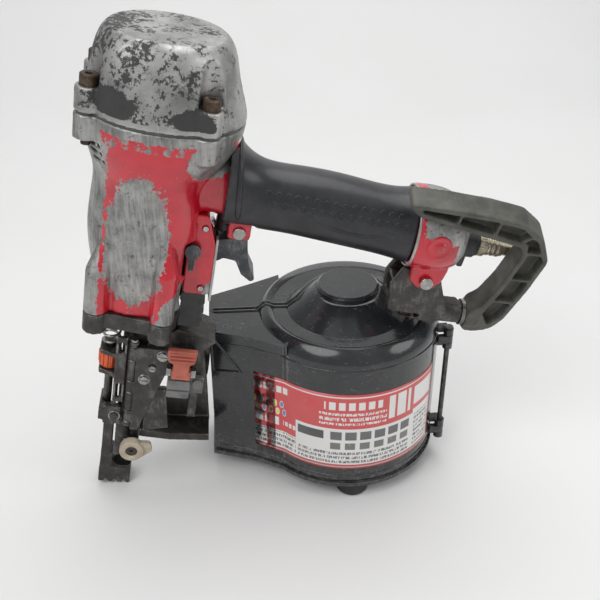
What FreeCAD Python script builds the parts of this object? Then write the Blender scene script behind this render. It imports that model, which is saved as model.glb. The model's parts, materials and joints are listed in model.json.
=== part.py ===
import FreeCAD
import Part
import os
from math import cos, pi, radians, sin, sqrt

# High-pressure coil nailer standing on its nose tip and two magazine feet.
# Millimetres. +Z up, -X towards the nose, +X towards the air plug.
#
# Two frames are used while modelling:
#   floor frame   Z vertical, magazine axis at x = 0, floor at z = 0
#   drive frame   X = a (across the tool, + towards the handle), Y = y,
#                 Z = h (height along the drive axis), leaning back by DRIVE_LEAN
# Everything ends in the row frame: floor frame moved by row_shift().

V = FreeCAD.Vector

# ---- whole tool ---------------------------------------------------------
DRIVE_LEAN = 10.0          # degrees, top of the drive axis leans towards +X
DRIVE_FOOT_X = -147.2      # where the drive axis meets the floor
RUN_GAP = 0.05             # radial clearance of a shaft in its hole

# ---- cylinder, cap and housing -------------------------------------------
CAP_TOP = 290.0
CAP_BASE = 250.5
GASKET_T = 1.0
HOUSING_TOP = CAP_BASE - GASKET_T
HOUSING_BASE = 141.0
SLEEVE_R = 26.0
BORE_R = 23.0
SLEEVE_BASE = 147.0
SLEEVE_TOP = 272.0
BUMPER_TOP = 165.0
PISTON_R = BORE_R - RUN_GAP
PISTON_H = 12.0
PISTON_BASE = 258.0
DRIVER_TIP = 118.0
DRIVER_W = 6.0
DRIVER_T = 3.0
VALVE_R = 29.6
CAP_BOLTS = [(-31.5, 18.5), (-31.5, -18.5), (26.5, 30.0), (26.5, -30.0)]
CAP_BOLT_SEAT = 263.0
NOSE_BOLTS = [(-21.0, 25.0, 170.0), (-21.0, -25.0, 170.0),
              (14.5, 30.0, 174.0), (14.5, -30.0, 174.0)]
BOSS_R = 6.5
FLANGE_T = 12.0
FLANGE_BASE = HOUSING_BASE - FLANGE_T

# outer body of the housing: height, centre a, half length a, half width y
HOUSING_SECTIONS = [(141.0, 0.8, 27.6, 28.5), (165.0, 0.8, 28.4, 29.5),
                    (205.0, 0.8, 29.8, 30.5), (219.0, 1.6, 31.0, 32.0),
                    (230.0, 3.6, 36.6, 35.5), (238.0, 4.6, 39.6, 37.2),
                    (249.5, 5.2, 41.0, 38.0)]
CAP_SECTIONS = [(250.5, 5.2, 41.0, 38.0), (262.0, 4.2, 38.8, 37.2),
                (274.0, 3.2, 36.0, 35.6), (282.0, 2.9, 34.0, 33.8),
                (287.0, 2.8, 31.5, 31.4), (290.0, 2.8, 27.5, 27.4)]

# ---- handle ---------------------------------------------------------------
# a, centre height, half width, half height
GRIP_SECTIONS = [(40.0, 219.0, 23.0, 29.0), (48.0, 213.5, 20.0, 21.5),
                 (58.0, 210.0, 18.5, 18.6), (72.0, 208.6, 18.0, 18.0),
                 (98.0, 206.7, 18.4, 18.8), (122.0, 203.8, 18.6, 18.6),
                 (144.0, 202.0, 20.5, 21.0)]
CORE_R = 13.0
AIR_R = 9.5
END_CAP_SECTIONS = [(144.5, 202.3, 22.4, 21.6), (150.0, 202.3, 23.0, 21.8),
                    (160.0, 202.0, 22.6, 21.4), (168.0, 201.6, 21.0, 19.4),
                    (173.5, 201.2, 17.0, 15.0)]
PLUG_SEAT = (172.0, 196.2)
PLUG_DROOP = 3.0           # degrees below the across direction of the drive frame
PLUG_NOSE_R = 4.5
PLUG_NOSE_L = 9.0

# ---- trigger ----------------------------------------------------------------
TRIGGER_PIN = (50.3, 190.5)
TRIGGER_HALF_W = 8.4
TRIGGER_PIN_R = 2.0
STEM_A = 42.5
STEM_R = 2.5
STEM_BASE = 184.6
VALVE_BUSH_R = 4.4
SELECTOR = (27.0, 178.9)
VALVE_FACE_Y = 15.0

# ---- nose ---------------------------------------------------------------
NOSE_END = 25.5
NOSE_BACK = 9.0
NOSE_FRONT = -5.5
NOSE_HALF_W = 9.0
CHANNEL_R = 5.0
DIAL_AT = (-12.2, -3.0)
DIAL_R = 6.2
DIAL_BASE = 91.0
DIAL_TOP = 101.0
ROD_R = 2.5
TIP_BASE = 0.9             # lowest height of the tip, so that its rear corner meets the floor
DOOR_AXIS = (1.2, -13.4)
DOOR_PIN_R = 1.5
LATCH_AXIS = (-18.0, 99.5)
MAGNET_AT = (5.5, 33.6)
FEED_AT = (23.0, 80.0)     # y and h of the feed cylinder axis
FEED_R = 9.0
PAWL_AT = (10.0, 19.5)     # a and y of the pawl pin

# ---- magazine -----------------------------------------------------------
MAG_Y = 26.0
MAG_R = 57.0
MAG_WALL = 2.5
MAG_FLOOR = 9.5
MAG_FLOOR_T = 3.0
MAG_SHOULDER = 98.0
MAG_CHANNEL_TOP = 104.0
SEAM_Y = 28.0
SEAM_GAP = 0.6
COVER_BASE = MAG_FLOOR + MAG_FLOOR_T + 0.5
KNOB_R = 19.0
COVER_HINGE = (60.6, 8.0)
HINGE_PIN_R = 1.6
SPINDLE_R = 7.0
SPINDLE_TOP = 94.0
PLATFORM_Z = 15.0
PLATFORM_R = 48.0
FOOT_R = 10.0
FOOT_YS = (-21.5, 73.5)
LABEL_Z = (23.0, 80.0)
LABEL_ANGLES = (-156.0, -30.0)

# ---- hook -----------------------------------------------------------------
BRACKET_PIN = (157.0, 175.5)
BRACKET_PIN_R = 2.1
HOOK_PIVOT = (50.0, 0.0, 117.0)
HOOK_DROOP = 10.0
HOOK_TILT = 19.4
HOOK_BOLT_R = 3.0
HOOK_SLEEVE_R = 6.8
HOOK_W = 15.0


# ---- small shape helpers -----------------------------------------------------
def box(lo, hi):
    return Part.makeBox(hi[0] - lo[0], hi[1] - lo[1], hi[2] - lo[2], V(*lo))


def rod(r, start, direction, length):
    return Part.makeCylinder(r, length, V(*start), V(*direction))


def rod_h(r, a, y, h0, h1):
    return rod(r, (a, y, h0), (0, 0, 1), h1 - h0)


def rod_y(r, a, h, y0, y1):
    return rod(r, (a, y0, h), (0, 1, 0), y1 - y0)


def rod_a(r, y, h, a0, a1):
    return rod(r, (a0, y, h), (1, 0, 0), a1 - a0)


def ring_h(r_out, r_in, a, y, h0, h1):
    return rod_h(r_out, a, y, h0, h1).cut(rod_h(r_in, a, y, h0 - 1, h1 + 1))


def outline(points, radius, at):
    """Closed wire through points with every corner rounded to radius."""
    edges = []
    count = len(points)
    starts = []
    ends = []
    for i in range(count):
        corner = V(*at(points[i]))
        before = V(*at(points[i - 1])) - corner
        after = V(*at(points[(i + 1) % count])) - corner
        turn = before.getAngle(after)
        reach = radius / max(sin(turn / 2) / cos(turn / 2), 0.05)
        reach = min(reach, 0.48 * before.Length, 0.48 * after.Length)
        p0 = corner + before.normalize() * reach
        p1 = corner + after.normalize() * reach
        bulge = reach * (1 / cos(turn / 2) - sin(turn / 2) / cos(turn / 2))
        middle = corner + (p0 + p1 - corner * 2).normalize() * bulge
        edges.append(Part.Arc(p0, middle, p1).toShape())
        starts.append(p0)
        ends.append(p1)
    for i in range(count):
        p, q = ends[i], starts[(i + 1) % count]
        if (q - p).Length > 1e-4:
            edges.append(Part.LineSegment(p, q).toShape())
    return Part.Wire(Part.__sortEdges__(edges))


def plate_y(points, y0, y1, radius=0.0):
    """Outline in (a, h) carried from y0 to y1."""
    if radius > 0:
        wire = outline(points, radius, lambda p: (p[0], y0, p[1]))
    else:
        wire = Part.makePolygon([V(p[0], y0, p[1]) for p in points + points[:1]])
    return Part.Face(wire).extrude(V(0, y1 - y0, 0))


def plate_h(points, h0, h1, radius=0.0):
    """Outline in (a, y) carried from h0 to h1."""
    if radius > 0:
        wire = outline(points, radius, lambda p: (p[0], p[1], h0))
    else:
        wire = Part.makePolygon([V(p[0], p[1], h0) for p in points + points[:1]])
    return Part.Face(wire).extrude(V(0, 0, h1 - h0))


def oval_wire(points):
    curve = Part.BSplineCurve()
    curve.interpolate(points, True)
    return Part.Wire([curve.toShape()])


def oval_points(u, v, power=2.3, count=24):
    """Points of a superellipse with half sizes u and v."""
    result = []
    for i in range(count):
        t = 2 * pi * i / count
        c, s = cos(t), sin(t)
        x = u * abs(c) ** (2 / power) * (1 if c >= 0 else -1)
        y = v * abs(s) ** (2 / power) * (1 if s >= 0 else -1)
        result.append((x, y))
    return result


def barrel(sections, shrink=0.0, power=2.15):
    """Loft of ovals stacked along h: (h, centre a, half a, half y)."""
    wires = []
    for h, centre, half_a, half_y in sections:
        ring = oval_points(half_a - shrink, half_y - shrink, power)
        wires.append(oval_wire([V(centre + p, q, h) for p, q in ring]))
    return Part.makeLoft(wires, True, False)


def limb(sections, shrink=0.0, power=2.3):
    """Loft of ovals stacked along a: (a, centre h, half y, half h)."""
    wires = []
    for a, centre, half_y, half_h in sections:
        ring = oval_points(half_y - shrink, half_h - shrink, power)
        wires.append(oval_wire([V(a, p, centre + q) for p, q in ring]))
    return Part.makeLoft(wires, True, False)


def fuse(*shapes):
    result = shapes[0].multiFuse(list(shapes[1:]))
    return result.removeSplitter()


def cut(shape, *tools):
    return shape.cut(list(tools)) if tools else shape


def group(shapes):
    return Part.makeCompound(shapes)


def coil(r, wire_r, a, y, h0, h1, turns):
    """Compression spring along h, its wire drawn with eight flats."""
    height = h1 - h0 - 2 * wire_r
    helix = Part.makeHelix(height / turns, height, r)
    angles = [pi / 8 + pi / 4 * i for i in range(9)]
    profile = Part.makePolygon([V(r + wire_r * cos(t), 0, wire_r * sin(t)) for t in angles])
    spring = Part.Wire(helix.Edges).makePipeShell([profile], True, True)
    spring.translate(V(a, y, h0 + wire_r))
    return spring


def screw_h(a, y, seat, head_r, head_h, shank_r, shank_l, key=4.0):
    """Socket-head screw pointing down the drive axis, head above seat."""
    head = rod_h(head_r, a, y, seat, seat + head_h)
    rim = [e for e in head.Edges if abs(e.BoundBox.ZMin - seat - head_h) < 1e-6]
    head = head.makeChamfer(0.5, [e for e in rim if e.BoundBox.ZLength < 1e-6])
    hexagon = [(a + key / sqrt(3) * cos(radians(60 * i)),
                y + key / sqrt(3) * sin(radians(60 * i))) for i in range(6)]
    socket = plate_h(hexagon, seat + head_h * 0.45, seat + head_h + 1)
    return fuse(cut(head, socket), rod_h(shank_r, a, y, seat - shank_l, seat))


# ---- frames -----------------------------------------------------------------
def drive_placement():
    return FreeCAD.Placement(V(DRIVE_FOOT_X, 0, 0),
                             FreeCAD.Rotation(V(0, 1, 0), DRIVE_LEAN))


def hook_placement():
    """Frame with X along the hook's pivot bolt and Z up the hook's loop."""
    droop = FreeCAD.Rotation(V(0, 1, 0), HOOK_DROOP)
    tilt = FreeCAD.Rotation(V(1, 0, 0), HOOK_TILT)
    return FreeCAD.Placement(V(*HOOK_PIVOT), droop.multiply(tilt))


def plug_placement():
    """Frame with X along the air plug, in the drive frame."""
    return FreeCAD.Placement(V(PLUG_SEAT[0], 0, PLUG_SEAT[1]),
                             FreeCAD.Rotation(V(0, 1, 0), PLUG_DROOP))


def in_frame(shape, placement):
    moved = shape.copy()
    moved.transformShape(placement.toMatrix(), True)
    return moved


# ---- head -------------------------------------------------------------------
def cap_bolt_holes(h0, h1):
    return [rod_h(2.6, a, y, h0, h1) for a, y in CAP_BOLTS]


def cylinder_cap():
    body = barrel(CAP_SECTIONS)
    notches = [rod_h(8.2, a * 1.08, y * 1.08, CAP_BOLT_SEAT, CAP_TOP + 5) for a, y in CAP_BOLTS]
    columns = [rod_h(6.6, a, y, CAP_BASE, CAP_BOLT_SEAT) for a, y in CAP_BOLTS]
    body = fuse(cut(body, *notches), *columns)
    chamber = rod_h(VALVE_R + 0.4, 0.0, 0.0, CAP_BASE - 1, 281.0)
    return cut(body, chamber, *cap_bolt_holes(CAP_BASE - 1, CAP_BOLT_SEAT + 1))


def cap_screws():
    return group([screw_h(a, y, CAP_BOLT_SEAT, 4.6, 5.6, 2.5, 30.0) for a, y in CAP_BOLTS])


def cap_gasket():
    top = HOUSING_SECTIONS[-1][1:]
    sheet = barrel([(HOUSING_TOP,) + top, (CAP_BASE,) + top], 0.6)
    lugs = [rod_h(5.6, a, y, HOUSING_TOP, CAP_BASE) for a, y in CAP_BOLTS]
    middle = rod_h(VALVE_R + 0.4, 0.0, 0.0, HOUSING_TOP - 1, CAP_BASE + 1)
    return cut(fuse(sheet, *lugs), middle, *cap_bolt_holes(HOUSING_TOP - 1, CAP_BASE + 1))


def housing_outer():
    return barrel(HOUSING_SECTIONS)


def handle_core(end):
    """Hollow casting inside the rubber grip, as far as a = end."""
    root = limb([(12.0, 222.0, 16.0, 25.0), (30.0, 220.0, 17.0, 24.5),
                 (44.0, 215.0, 15.5, 18.0), (54.0, 211.0, CORE_R, CORE_R + 0.6)])
    core = limb([(53.0, 211.2, CORE_R, CORE_R), (98.0, 206.7, CORE_R, CORE_R),
                 (end, 202.0, CORE_R, CORE_R)], power=2.0)
    return fuse(root, core)


def exhaust_slots():
    return [box((-60, -26, h), (-19, -14, h + 2.0)) for h in (226.0, 230.2, 234.4)]


def main_housing():
    body = housing_outer()
    bosses = []
    for a, y, top in NOSE_BOLTS:
        bosses.append(rod_h(BOSS_R, a, y, HOUSING_BASE, top - 4))
        bosses.append(Part.makeCone(BOSS_R, BOSS_R - 3.5, 4, V(a, y, top - 4)))
    cap_lugs = [rod_h(6.6, a, y, 236.0, HOUSING_TOP) for a, y in CAP_BOLTS]
    ears = [plate_y([(44.0, 198.0), (44.0, 186.0), (56.5, 186.0), (56.5, 200.0)], s * 9.0,
                    s * 12.5, 2.0) for s in (-1, 1)]
    body = fuse(body, handle_core(143.5), *bosses, *cap_lugs, *ears)
    bore = rod_h(SLEEVE_R, 0.0, 0.0, SLEEVE_BASE, HOUSING_TOP + 1)
    reservoir = rod_h(VALVE_R + 0.4, 0.0, 0.0, 226.0, HOUSING_TOP + 1)
    blade_hole = rod_h(8.0, 0.0, 0.0, HOUSING_BASE - 1, SLEEVE_BASE + 1)
    air_way = rod(AIR_R, (30.0, 0, 213.5), (1, 0, -0.1), 116.0)
    finger_cut = box((33.5, -TRIGGER_HALF_W - 0.5, 140.0), (57.0, TRIGGER_HALF_W + 0.5, 194.5))
    block_cut = box((22.0, -VALVE_FACE_Y, HOUSING_BASE - 1), (36.0, VALVE_FACE_Y, 200.0))
    pin_hole = rod_y(TRIGGER_PIN_R, *TRIGGER_PIN, -20, 20)
    lever_flat = box((22.4, -40.0, 163.0), (34.0, -VALVE_FACE_Y, 185.0))
    lever_hole = rod_y(2.0 + RUN_GAP, *SELECTOR, -VALVE_FACE_Y - 1, -6.0)
    valve_hole = rod_h(VALVE_BUSH_R, STEM_A, 0.0, 184.0, 207.0)
    bolt_holes = [rod_h(2.6, a, y, HOUSING_BASE - 1, top - 8) for a, y, top in NOSE_BOLTS]
    return cut(body, bore, reservoir, blade_hole, air_way, finger_cut, block_cut, pin_hole,
               lever_flat, lever_hole, valve_hole, *bolt_holes, *cap_bolt_holes(230.0, HOUSING_TOP + 1),
               *exhaust_slots())


def nose_screws():
    screws = []
    for a, y, top in NOSE_BOLTS:
        screw = screw_h(a, y, 0.0, 4.4, 5.0, 2.5, 26.0)
        screw.rotate(V(a, y, 0), V(1, 0, 0), 180)
        screw.translate(V(0, 0, FLANGE_BASE + 5.0))
        screws.append(screw)
    return group(screws)


def cylinder_sleeve():
    tube = ring_h(SLEEVE_R, BORE_R, 0, 0, SLEEVE_BASE, SLEEVE_TOP)
    vents = [rod(1.6, (0, 0, 182.0), (cos(radians(30 * i)), sin(radians(30 * i)), 0), 40)
             for i in range(12)]
    return cut(tube, *vents)


def bumper():
    ring = ring_h(BORE_R - 0.3, 8.0, 0, 0, SLEEVE_BASE, BUMPER_TOP)
    groove = ring_h(BORE_R + 1, BORE_R - 3.0, 0, 0, 153.0, 158.0)
    return cut(ring, groove)


def head_valve():
    ring = ring_h(VALVE_R, SLEEVE_R + RUN_GAP, 0, 0, 252.0, 266.0)
    return cut(ring, ring_h(VALVE_R + 1, VALVE_R - 1.2, 0, 0, 257.0, 260.0))


def head_valve_spring():
    return coil(27.8, 1.1, 0, 0, 227.0, 251.8, 3)


def piston():
    body = rod_h(PISTON_R, 0, 0, PISTON_BASE, PISTON_BASE + PISTON_H)
    groove = ring_h(PISTON_R + 1, PISTON_R - 2.2, 0, 0, PISTON_BASE + 4, PISTON_BASE + 7.5)
    dish = Part.makeCone(9.0, 16.0, 5.0, V(0, 0, PISTON_BASE + PISTON_H - 5))
    slot = box((-DRIVER_T / 2, -DRIVER_W / 2, PISTON_BASE - 1),
               (DRIVER_T / 2, DRIVER_W / 2, PISTON_BASE + 6))
    return cut(body, groove, dish, slot)


def driver_blade():
    return box((-DRIVER_T / 2, -DRIVER_W / 2, DRIVER_TIP),
               (DRIVER_T / 2, DRIVER_W / 2, PISTON_BASE + 6))


# ---- handle -------------------------------------------------------------------
def grip_sleeve():
    outer = limb(GRIP_SECTIONS)
    mouth = box((30.0, -TRIGGER_HALF_W - 4.3, 150.0), (58.0, TRIGGER_HALF_W + 4.3, 200.5))
    front = barrel(HOUSING_SECTIONS, -0.05)
    return cut(outer, handle_core(146.0), mouth, front)


def end_cap():
    body = limb(END_CAP_SECTIONS, power=2.6)
    lugs = [plate_y([(147.5, 186.0), (148.0, 175.0), (153.0, 170.8), (160.0, 170.8),
                     (166.0, 176.0), (168.5, 186.0)], y - 2.6, y + 2.6, 2.0)
            for y in (-13.0, 0.0, 13.0)]
    cavity = rod_a(CORE_R + 1.0, 0, 201.5, 140.0, 160.0)
    seat = in_frame(rod_a(6.0, 0, 0, -20, 20), plug_placement())
    lug_hole = rod_y(BRACKET_PIN_R, *BRACKET_PIN, -20, 20)
    screw_holes = [rod_a(1.6, y, h, 140, 180) for y, h in end_screw_places()]
    screw_holes += [rod_a(3.0, y, h, 170.6, 180) for y, h in end_screw_places()]
    return cut(fuse(body, *lugs), cavity, seat, lug_hole, *screw_holes)


def end_screw_places():
    return [(-14.0, 212.0), (14.0, 212.0), (-14.0, 192.0), (14.0, 192.0)]


def end_cap_screws():
    screws = []
    for y, h in end_screw_places():
        head = rod_a(2.8, y, h, 170.6, 173.2)
        shank = rod_a(1.5, y, h, 150.0, 170.6)
        screws.append(fuse(head, shank))
    return group(screws)


def plug_collar():
    bush = rod_a(5.95, 0, 0, -10, 3.0)
    collar = rod_a(8.6, 0, 0, 3.0, 11.0)
    lip = rod_a(7.4, 0, 0, 11.0, 13.0)
    lug = plate_y([(4.5, -5.0), (9.0, -5.0), (8.6, -15.5), (5.2, -15.5)], -2.2, 2.2, 1.2)
    bore = rod_a(3.4, 0, 0, -12, 14)
    return cut(fuse(bush, collar, lip, lug), bore)


def air_plug():
    parts = [rod_a(3.4, 0, 0, -6, 14.0), rod_a(6.6, 0, 0, 13.0, 17.5), rod_a(5.3, 0, 0, 17.5, 28.0)]
    for a in (18.6, 21.6, 24.6):
        parts.append(rod_a(5.9, 0, 0, a, a + 1.6))
    parts.append(rod_a(PLUG_NOSE_R, 0, 0, 28.0, 28.0 + PLUG_NOSE_L))
    parts.append(Part.makeCone(PLUG_NOSE_R, 3.2, 1.6, V(28.0 + PLUG_NOSE_L, 0, 0), V(1, 0, 0)))
    return cut(fuse(*parts), rod_a(2.0, 0, 0, -8, 40))


def trigger():
    pin_a, pin_h = TRIGGER_PIN
    body = plate_y([(39.3, 183.0), (47.8, 184.6), (48.6, 193.6), (53.6, 193.6), (56.0, 184.0),
                    (57.0, 176.0), (59.0, 168.0), (63.2, 160.6), (61.0, 158.8), (55.0, 163.0),
                    (51.0, 171.0), (44.0, 172.0), (39.5, 168.4)],
                   -TRIGGER_HALF_W, TRIGGER_HALF_W, 1.6)
    hollow = box((40.8, -TRIGGER_HALF_W + 1.6, 170.0), (52.5, TRIGGER_HALF_W - 1.6, 181.0))
    return cut(body, hollow, rod_y(TRIGGER_PIN_R + RUN_GAP, pin_a, pin_h, -20, 20))


def trigger_pin():
    pin_a, pin_h = TRIGGER_PIN
    return fuse(rod_y(TRIGGER_PIN_R, pin_a, pin_h, -12.5, 12.5),
                rod_y(3.4, pin_a, pin_h, -14.2, -12.5), rod_y(3.0, pin_a, pin_h, 12.5, 13.8))


def trigger_valve():
    body = rod_h(VALVE_BUSH_R, STEM_A, 0, 186.4, 207.0)
    bore = rod_h(STEM_R + RUN_GAP, STEM_A, 0, 180.0, 198.0)
    chamber = rod_h(3.6, STEM_A, 0, 190.0, 205.0)
    return cut(body, bore, chamber)


def valve_stem():
    return fuse(rod_h(STEM_R, STEM_A, 0, STEM_BASE, 192.0), rod_h(3.4, STEM_A, 0, 192.0, 193.6),
                rod_h(1.4, STEM_A, 0, 193.6, 199.0))


def stem_spring():
    return coil(2.6, 0.45, STEM_A, 0, 193.8, 204.9, 5)


def trigger_valve_block():
    block = plate_y([(24.0, 151.3), (38.7, 151.3), (38.7, 183.0), (33.4, 199.5), (24.0, 199.5)],
                    -VALVE_FACE_Y, VALVE_FACE_Y, 2.0)
    finger_side = box((38.0, -8.9, 150.0), (40.0, 8.9, 200.0))
    finger_room = box((33.2, -8.9, 164.0), (40.0, 8.9, 186.0))
    selector_hole = rod_y(2.0 + RUN_GAP, *SELECTOR, -VALVE_FACE_Y - 1, -6.0)
    trimmed = cut(block, housing_core_room(), finger_side, finger_room)
    pin_holes = [rod_y(1.6, a, h, -20, 20) for a, h in block_pin_places()]
    return cut(trimmed, selector_hole, *pin_holes)


def housing_core_room():
    """The sleeve's bore wall, which the valve block must clear."""
    return rod_h(SLEEVE_R + 1.6, 0, 0, 120.0, 240.0)


def valve_base():
    block = box((23.4, -14.0, FLANGE_BASE), (36.4, 14.0, 151.0))
    ribs = [box((34.6, -14.5, h), (37.2, 14.5, h + 2.2)) for h in (133.0, 139.0, 145.0)]
    return cut(fuse(block, *ribs), housing_core_room())


def strip_plate():
    plate = box((38.7, -15.0, 150.0), (40.1, -9.4, 186.0))
    top = box((38.7, 9.4, 150.0), (40.1, 15.0, 186.0))
    foot = box((38.7, -15.0, 147.5), (40.1, 15.0, 150.0))
    return fuse(plate, top, foot)


def mode_selector():
    a, h = SELECTOR
    disc = rod_y(4.3, a, h, -VALVE_FACE_Y - 3.6, -VALVE_FACE_Y - 0.3)
    arm = plate_y([(a - 1.9, h), (a - 1.6, h - 11.5), (a + 1.3, h - 11.5), (a + 1.9, h)],
                  -VALVE_FACE_Y - 3.4, -VALVE_FACE_Y - 0.5, 1.0)
    shaft = rod_y(2.0, a, h, -VALVE_FACE_Y - 0.4, -7.0)
    return fuse(disc, arm, shaft)


def block_pin_places():
    return [(32.3, 192.3), (33.6, 155.5)]


def block_pins():
    return group([rod_y(1.6, a, h, -16.2, 16.2) for a, h in block_pin_places()])


# ---- nose ---------------------------------------------------------------------
def nose_body():
    flange = [rod_h(BOSS_R, a, y, FLANGE_BASE, HOUSING_BASE) for a, y, top in NOSE_BOLTS]
    plate = plate_h([(-24, -27), (-24, 27), (17, 33), (22.8, 22), (22.8, -22), (17, -33)],
                    FLANGE_BASE + 3, HOUSING_BASE, 6.0)
    block = box((NOSE_FRONT, -NOSE_HALF_W, NOSE_END), (NOSE_BACK, NOSE_HALF_W, HOUSING_BASE))
    skirt = plate_y([(-16, 134), (-9, 124), (NOSE_FRONT, 118.5), (NOSE_BACK, 108), (18, 120),
                     (20, 134)], -NOSE_HALF_W, NOSE_HALF_W)
    spring_room = rod_h(6.6, DIAL_AT[0], DIAL_AT[1], 100.0, 128.0)
    body = fuse(block, plate, skirt, *flange)
    channel = rod_h(CHANNEL_R, 0, 0, NOSE_END - 1, HOUSING_BASE + 1)
    gate = box((0.0, -NOSE_HALF_W - 1, 30.0), (NOSE_BACK + 1, 3.5, 112.0))
    pawl_way = box((-1.0, 3.0, 66.0), (NOSE_BACK + 1, NOSE_HALF_W + 1, 94.0))
    screw_holes = []
    for a, y, top in NOSE_BOLTS:
        screw_holes.append(rod_h(2.6, a, y, FLANGE_BASE - 1, HOUSING_BASE + 1))
        screw_holes.append(rod_h(4.5, a, y, FLANGE_BASE - 1, FLANGE_BASE + 5.0))
    magnet_hole = rod_y(2.0, *MAGNET_AT, -NOSE_HALF_W - 1, -4.0)
    block = cut(body, channel, gate, pawl_way, magnet_hole, spring_room, *screw_holes)
    return fuse(block, *door_hinge_posts())


def feed_guide():
    """Fixed far wall, rails and upper bracket between nose and magazine."""
    wall = plate_y([(NOSE_BACK, 44.0), (30.0, 42.0), (52.0, 44.0), (42.5, 100.0), (40.0, 116.0),
                    (NOSE_BACK, 116.0)], 9.0, 11.5)
    window = box((8.0, 8.0, 66.0), (30.0, 12.5, 94.0))
    top_rail = plate_y([(19.0, 120.3), (24.6, 125.0), (47.0, 118.0), (44.5, 115.6), (40.6, 111.6),
                        (22.0, 113.0)],
                       -12.2, 14.0)
    low_rail = plate_y([(NOSE_BACK, 41.0), (28.0, 40.0), (52.0, 42.0), (51.0, 47.0), (28.0, 45.0),
                        (NOSE_BACK, 47.0)], -9.0, 11.5)
    apron = plate_y([(10.6, 47.0), (25.9, 51.0), (22.6, 76.0), (21.6, 80.0), (10.6, 80.0)],
                    -10.9, -9.0)
    post = box((36.0, -12.0, 62.0), (41.0, -8.5, 114.0))
    return fuse(cut(wall, window), top_rail, low_rail, apron, post)


def door_knuckle_bands():
    return [(58.0, 66.0), (80.0, 88.0), (103.0, 111.0)]


def nose_door():
    a, y = DOOR_AXIS
    face = plate_y([(2.2, 52.0), (7.6, 52.0), (15.5, 78.0), (20.4, 95.0), (36.5, 95.5), (36.5, 112.5),
                    (2.2, 112.5)], -16.4, -12.6, 1.2)
    rib = plate_y([(4.8, 56.0), (6.6, 56.0), (10.0, 70.0), (10.0, 108.0), (4.8, 108.0)],
                  -12.6, -9.4, 0.6)
    knuckles = [ring_h(3.0, DOOR_PIN_R + RUN_GAP, a, y, h0, h1) for h0, h1 in door_knuckle_bands()]
    clear = [rod_h(3.3, a, y, h0, h1) for h0, h1 in ((50.0, 58.0), (66.0, 80.0), (88.0, 103.0),
                                                      (111.0, 114.0))]
    pin_room = rod_h(DOOR_PIN_R + RUN_GAP, a, y, 50.0, 114.0)
    holes = [rod_y(1.7, p, q, -17.0, -8.0) for p, q in door_screw_places()]
    lever_room = box((23.2, -16.6, 95.6), (34.8, -14.5, 103.8))
    return cut(fuse(cut(face, *clear), rib, *knuckles), pin_room, lever_room, *holes)


def door_screw_places():
    return [(17.8, 108.2), (8.5, 90.6), (12.6, 99.4)]


def door_screws():
    screws = []
    for index, (a, h) in enumerate(door_screw_places()):
        head = rod_y(2.7 if index < 2 else 2.0, a, h, -18.0, -16.4)
        slot = box((a - 3, -18.5, h - 0.4), (a + 3, -17.4, h + 0.4))
        screws.append(fuse(cut(head, slot), rod_y(1.6, a, h, -16.4, -12.8)))
    return group(screws)


def door_pin():
    a, y = DOOR_AXIS
    return fuse(rod_h(DOOR_PIN_R, a, y, 54.0, 115.0), rod_h(2.4, a, y, 115.0, 116.5))


def door_hinge_posts():
    a, y = DOOR_AXIS
    posts = []
    for h0, h1 in ((54.0, 57.7), (66.3, 79.7), (88.3, 102.7), (111.3, 114.8)):
        post = fuse(rod_h(2.9, a, y, h0, h1), box((a - 3.4, y, h0), (a - 1.0, -8.0, h1)))
        posts.append(cut(post, rod_h(DOOR_PIN_R, a, y, h0 - 1, h1 + 1),
                         box((NOSE_FRONT, -NOSE_HALF_W, h0 - 1), (0.0, 0, h1 + 1))))
    return posts


def latch_lever():
    thumb = plate_y([(20.0, 118.0), (37.0, 118.0), (36.2, 110.4), (33.4, 108.6), (32.6, 100.6),
                     (24.6, 100.6), (24.0, 108.6), (20.8, 110.4)], -24.2, -20.4, 0.9)
    ridges = [box((21.6, -25.6, h), (35.6, -23.2, h + 1.2)) for h in (111.0, 113.4, 115.8)]
    y, h = LATCH_AXIS
    barrel_block = box((23.6, y - 4.0, h - 2.9), (34.4, y + 1.2, h + 2.9))
    lever = fuse(thumb, *ridges, barrel_block)
    return cut(lever, rod_a(1.5 + RUN_GAP, y, h, 18, 40))


def latch_pin():
    ears = [box((a, -20.0, 97.4), (a + 2.6, -16.4, 102.4)) for a in (20.6, 34.8)]
    pin = rod_a(1.5, *LATCH_AXIS, 20.6, 37.4)
    return fuse(pin, *ears)


def latch_block():
    block = plate_y([(22.0, 82.0), (35.0, 82.0), (35.0, 94.2), (22.0, 94.2)], -20.0, -9.4, 1.5)
    groove = box((20.0, -21.0, 86.6), (37.0, -18.6, 88.0))
    bolt = rod_y(3.2, 39.6, 90.4, -17.0, -12.0)
    arm = box((34.0, -15.0, 83.0), (43.0, -12.0, 94.2))
    return fuse(cut(block, groove), bolt, arm)


def magnet_holder():
    a, h = MAGNET_AT
    ring = rod_y(7.4, a, h, -15.4, -10.0)
    lobe = plate_y([(a, h + 5.5), (a + 11.0, h + 6.0), (a + 12.5, h), (a + 5.0, h - 6.5),
                    (a, h - 6.5)], -13.6, -10.0, 2.0)
    foot = box((a - 4.5, -10.2, h - 4.0), (a + 3.0, -NOSE_HALF_W, h + 4.0))
    return cut(fuse(ring, lobe, foot), rod_y(3.6, a, h, -16, -11.5))


def nose_magnet():
    a, h = MAGNET_AT
    disc = rod_y(3.6, a, h, -15.0, -11.5)
    return cut(disc, rod_y(1.2, a, h, -16.0, -13.6))


def feed_cylinder():
    y, h = FEED_AT
    tube = rod_a(FEED_R, y, h, 27.5, 47.0)
    bore = rod_a(6.6, y, h, 29.0, 45.6)
    rod_hole = rod_a(3.0 + RUN_GAP, y, h, 26.0, 30.0)
    foot = box((29.0, 11.5, 74.0), (44.0, 20.0, 86.0))
    return cut(fuse(tube, foot), bore, rod_hole)


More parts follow.
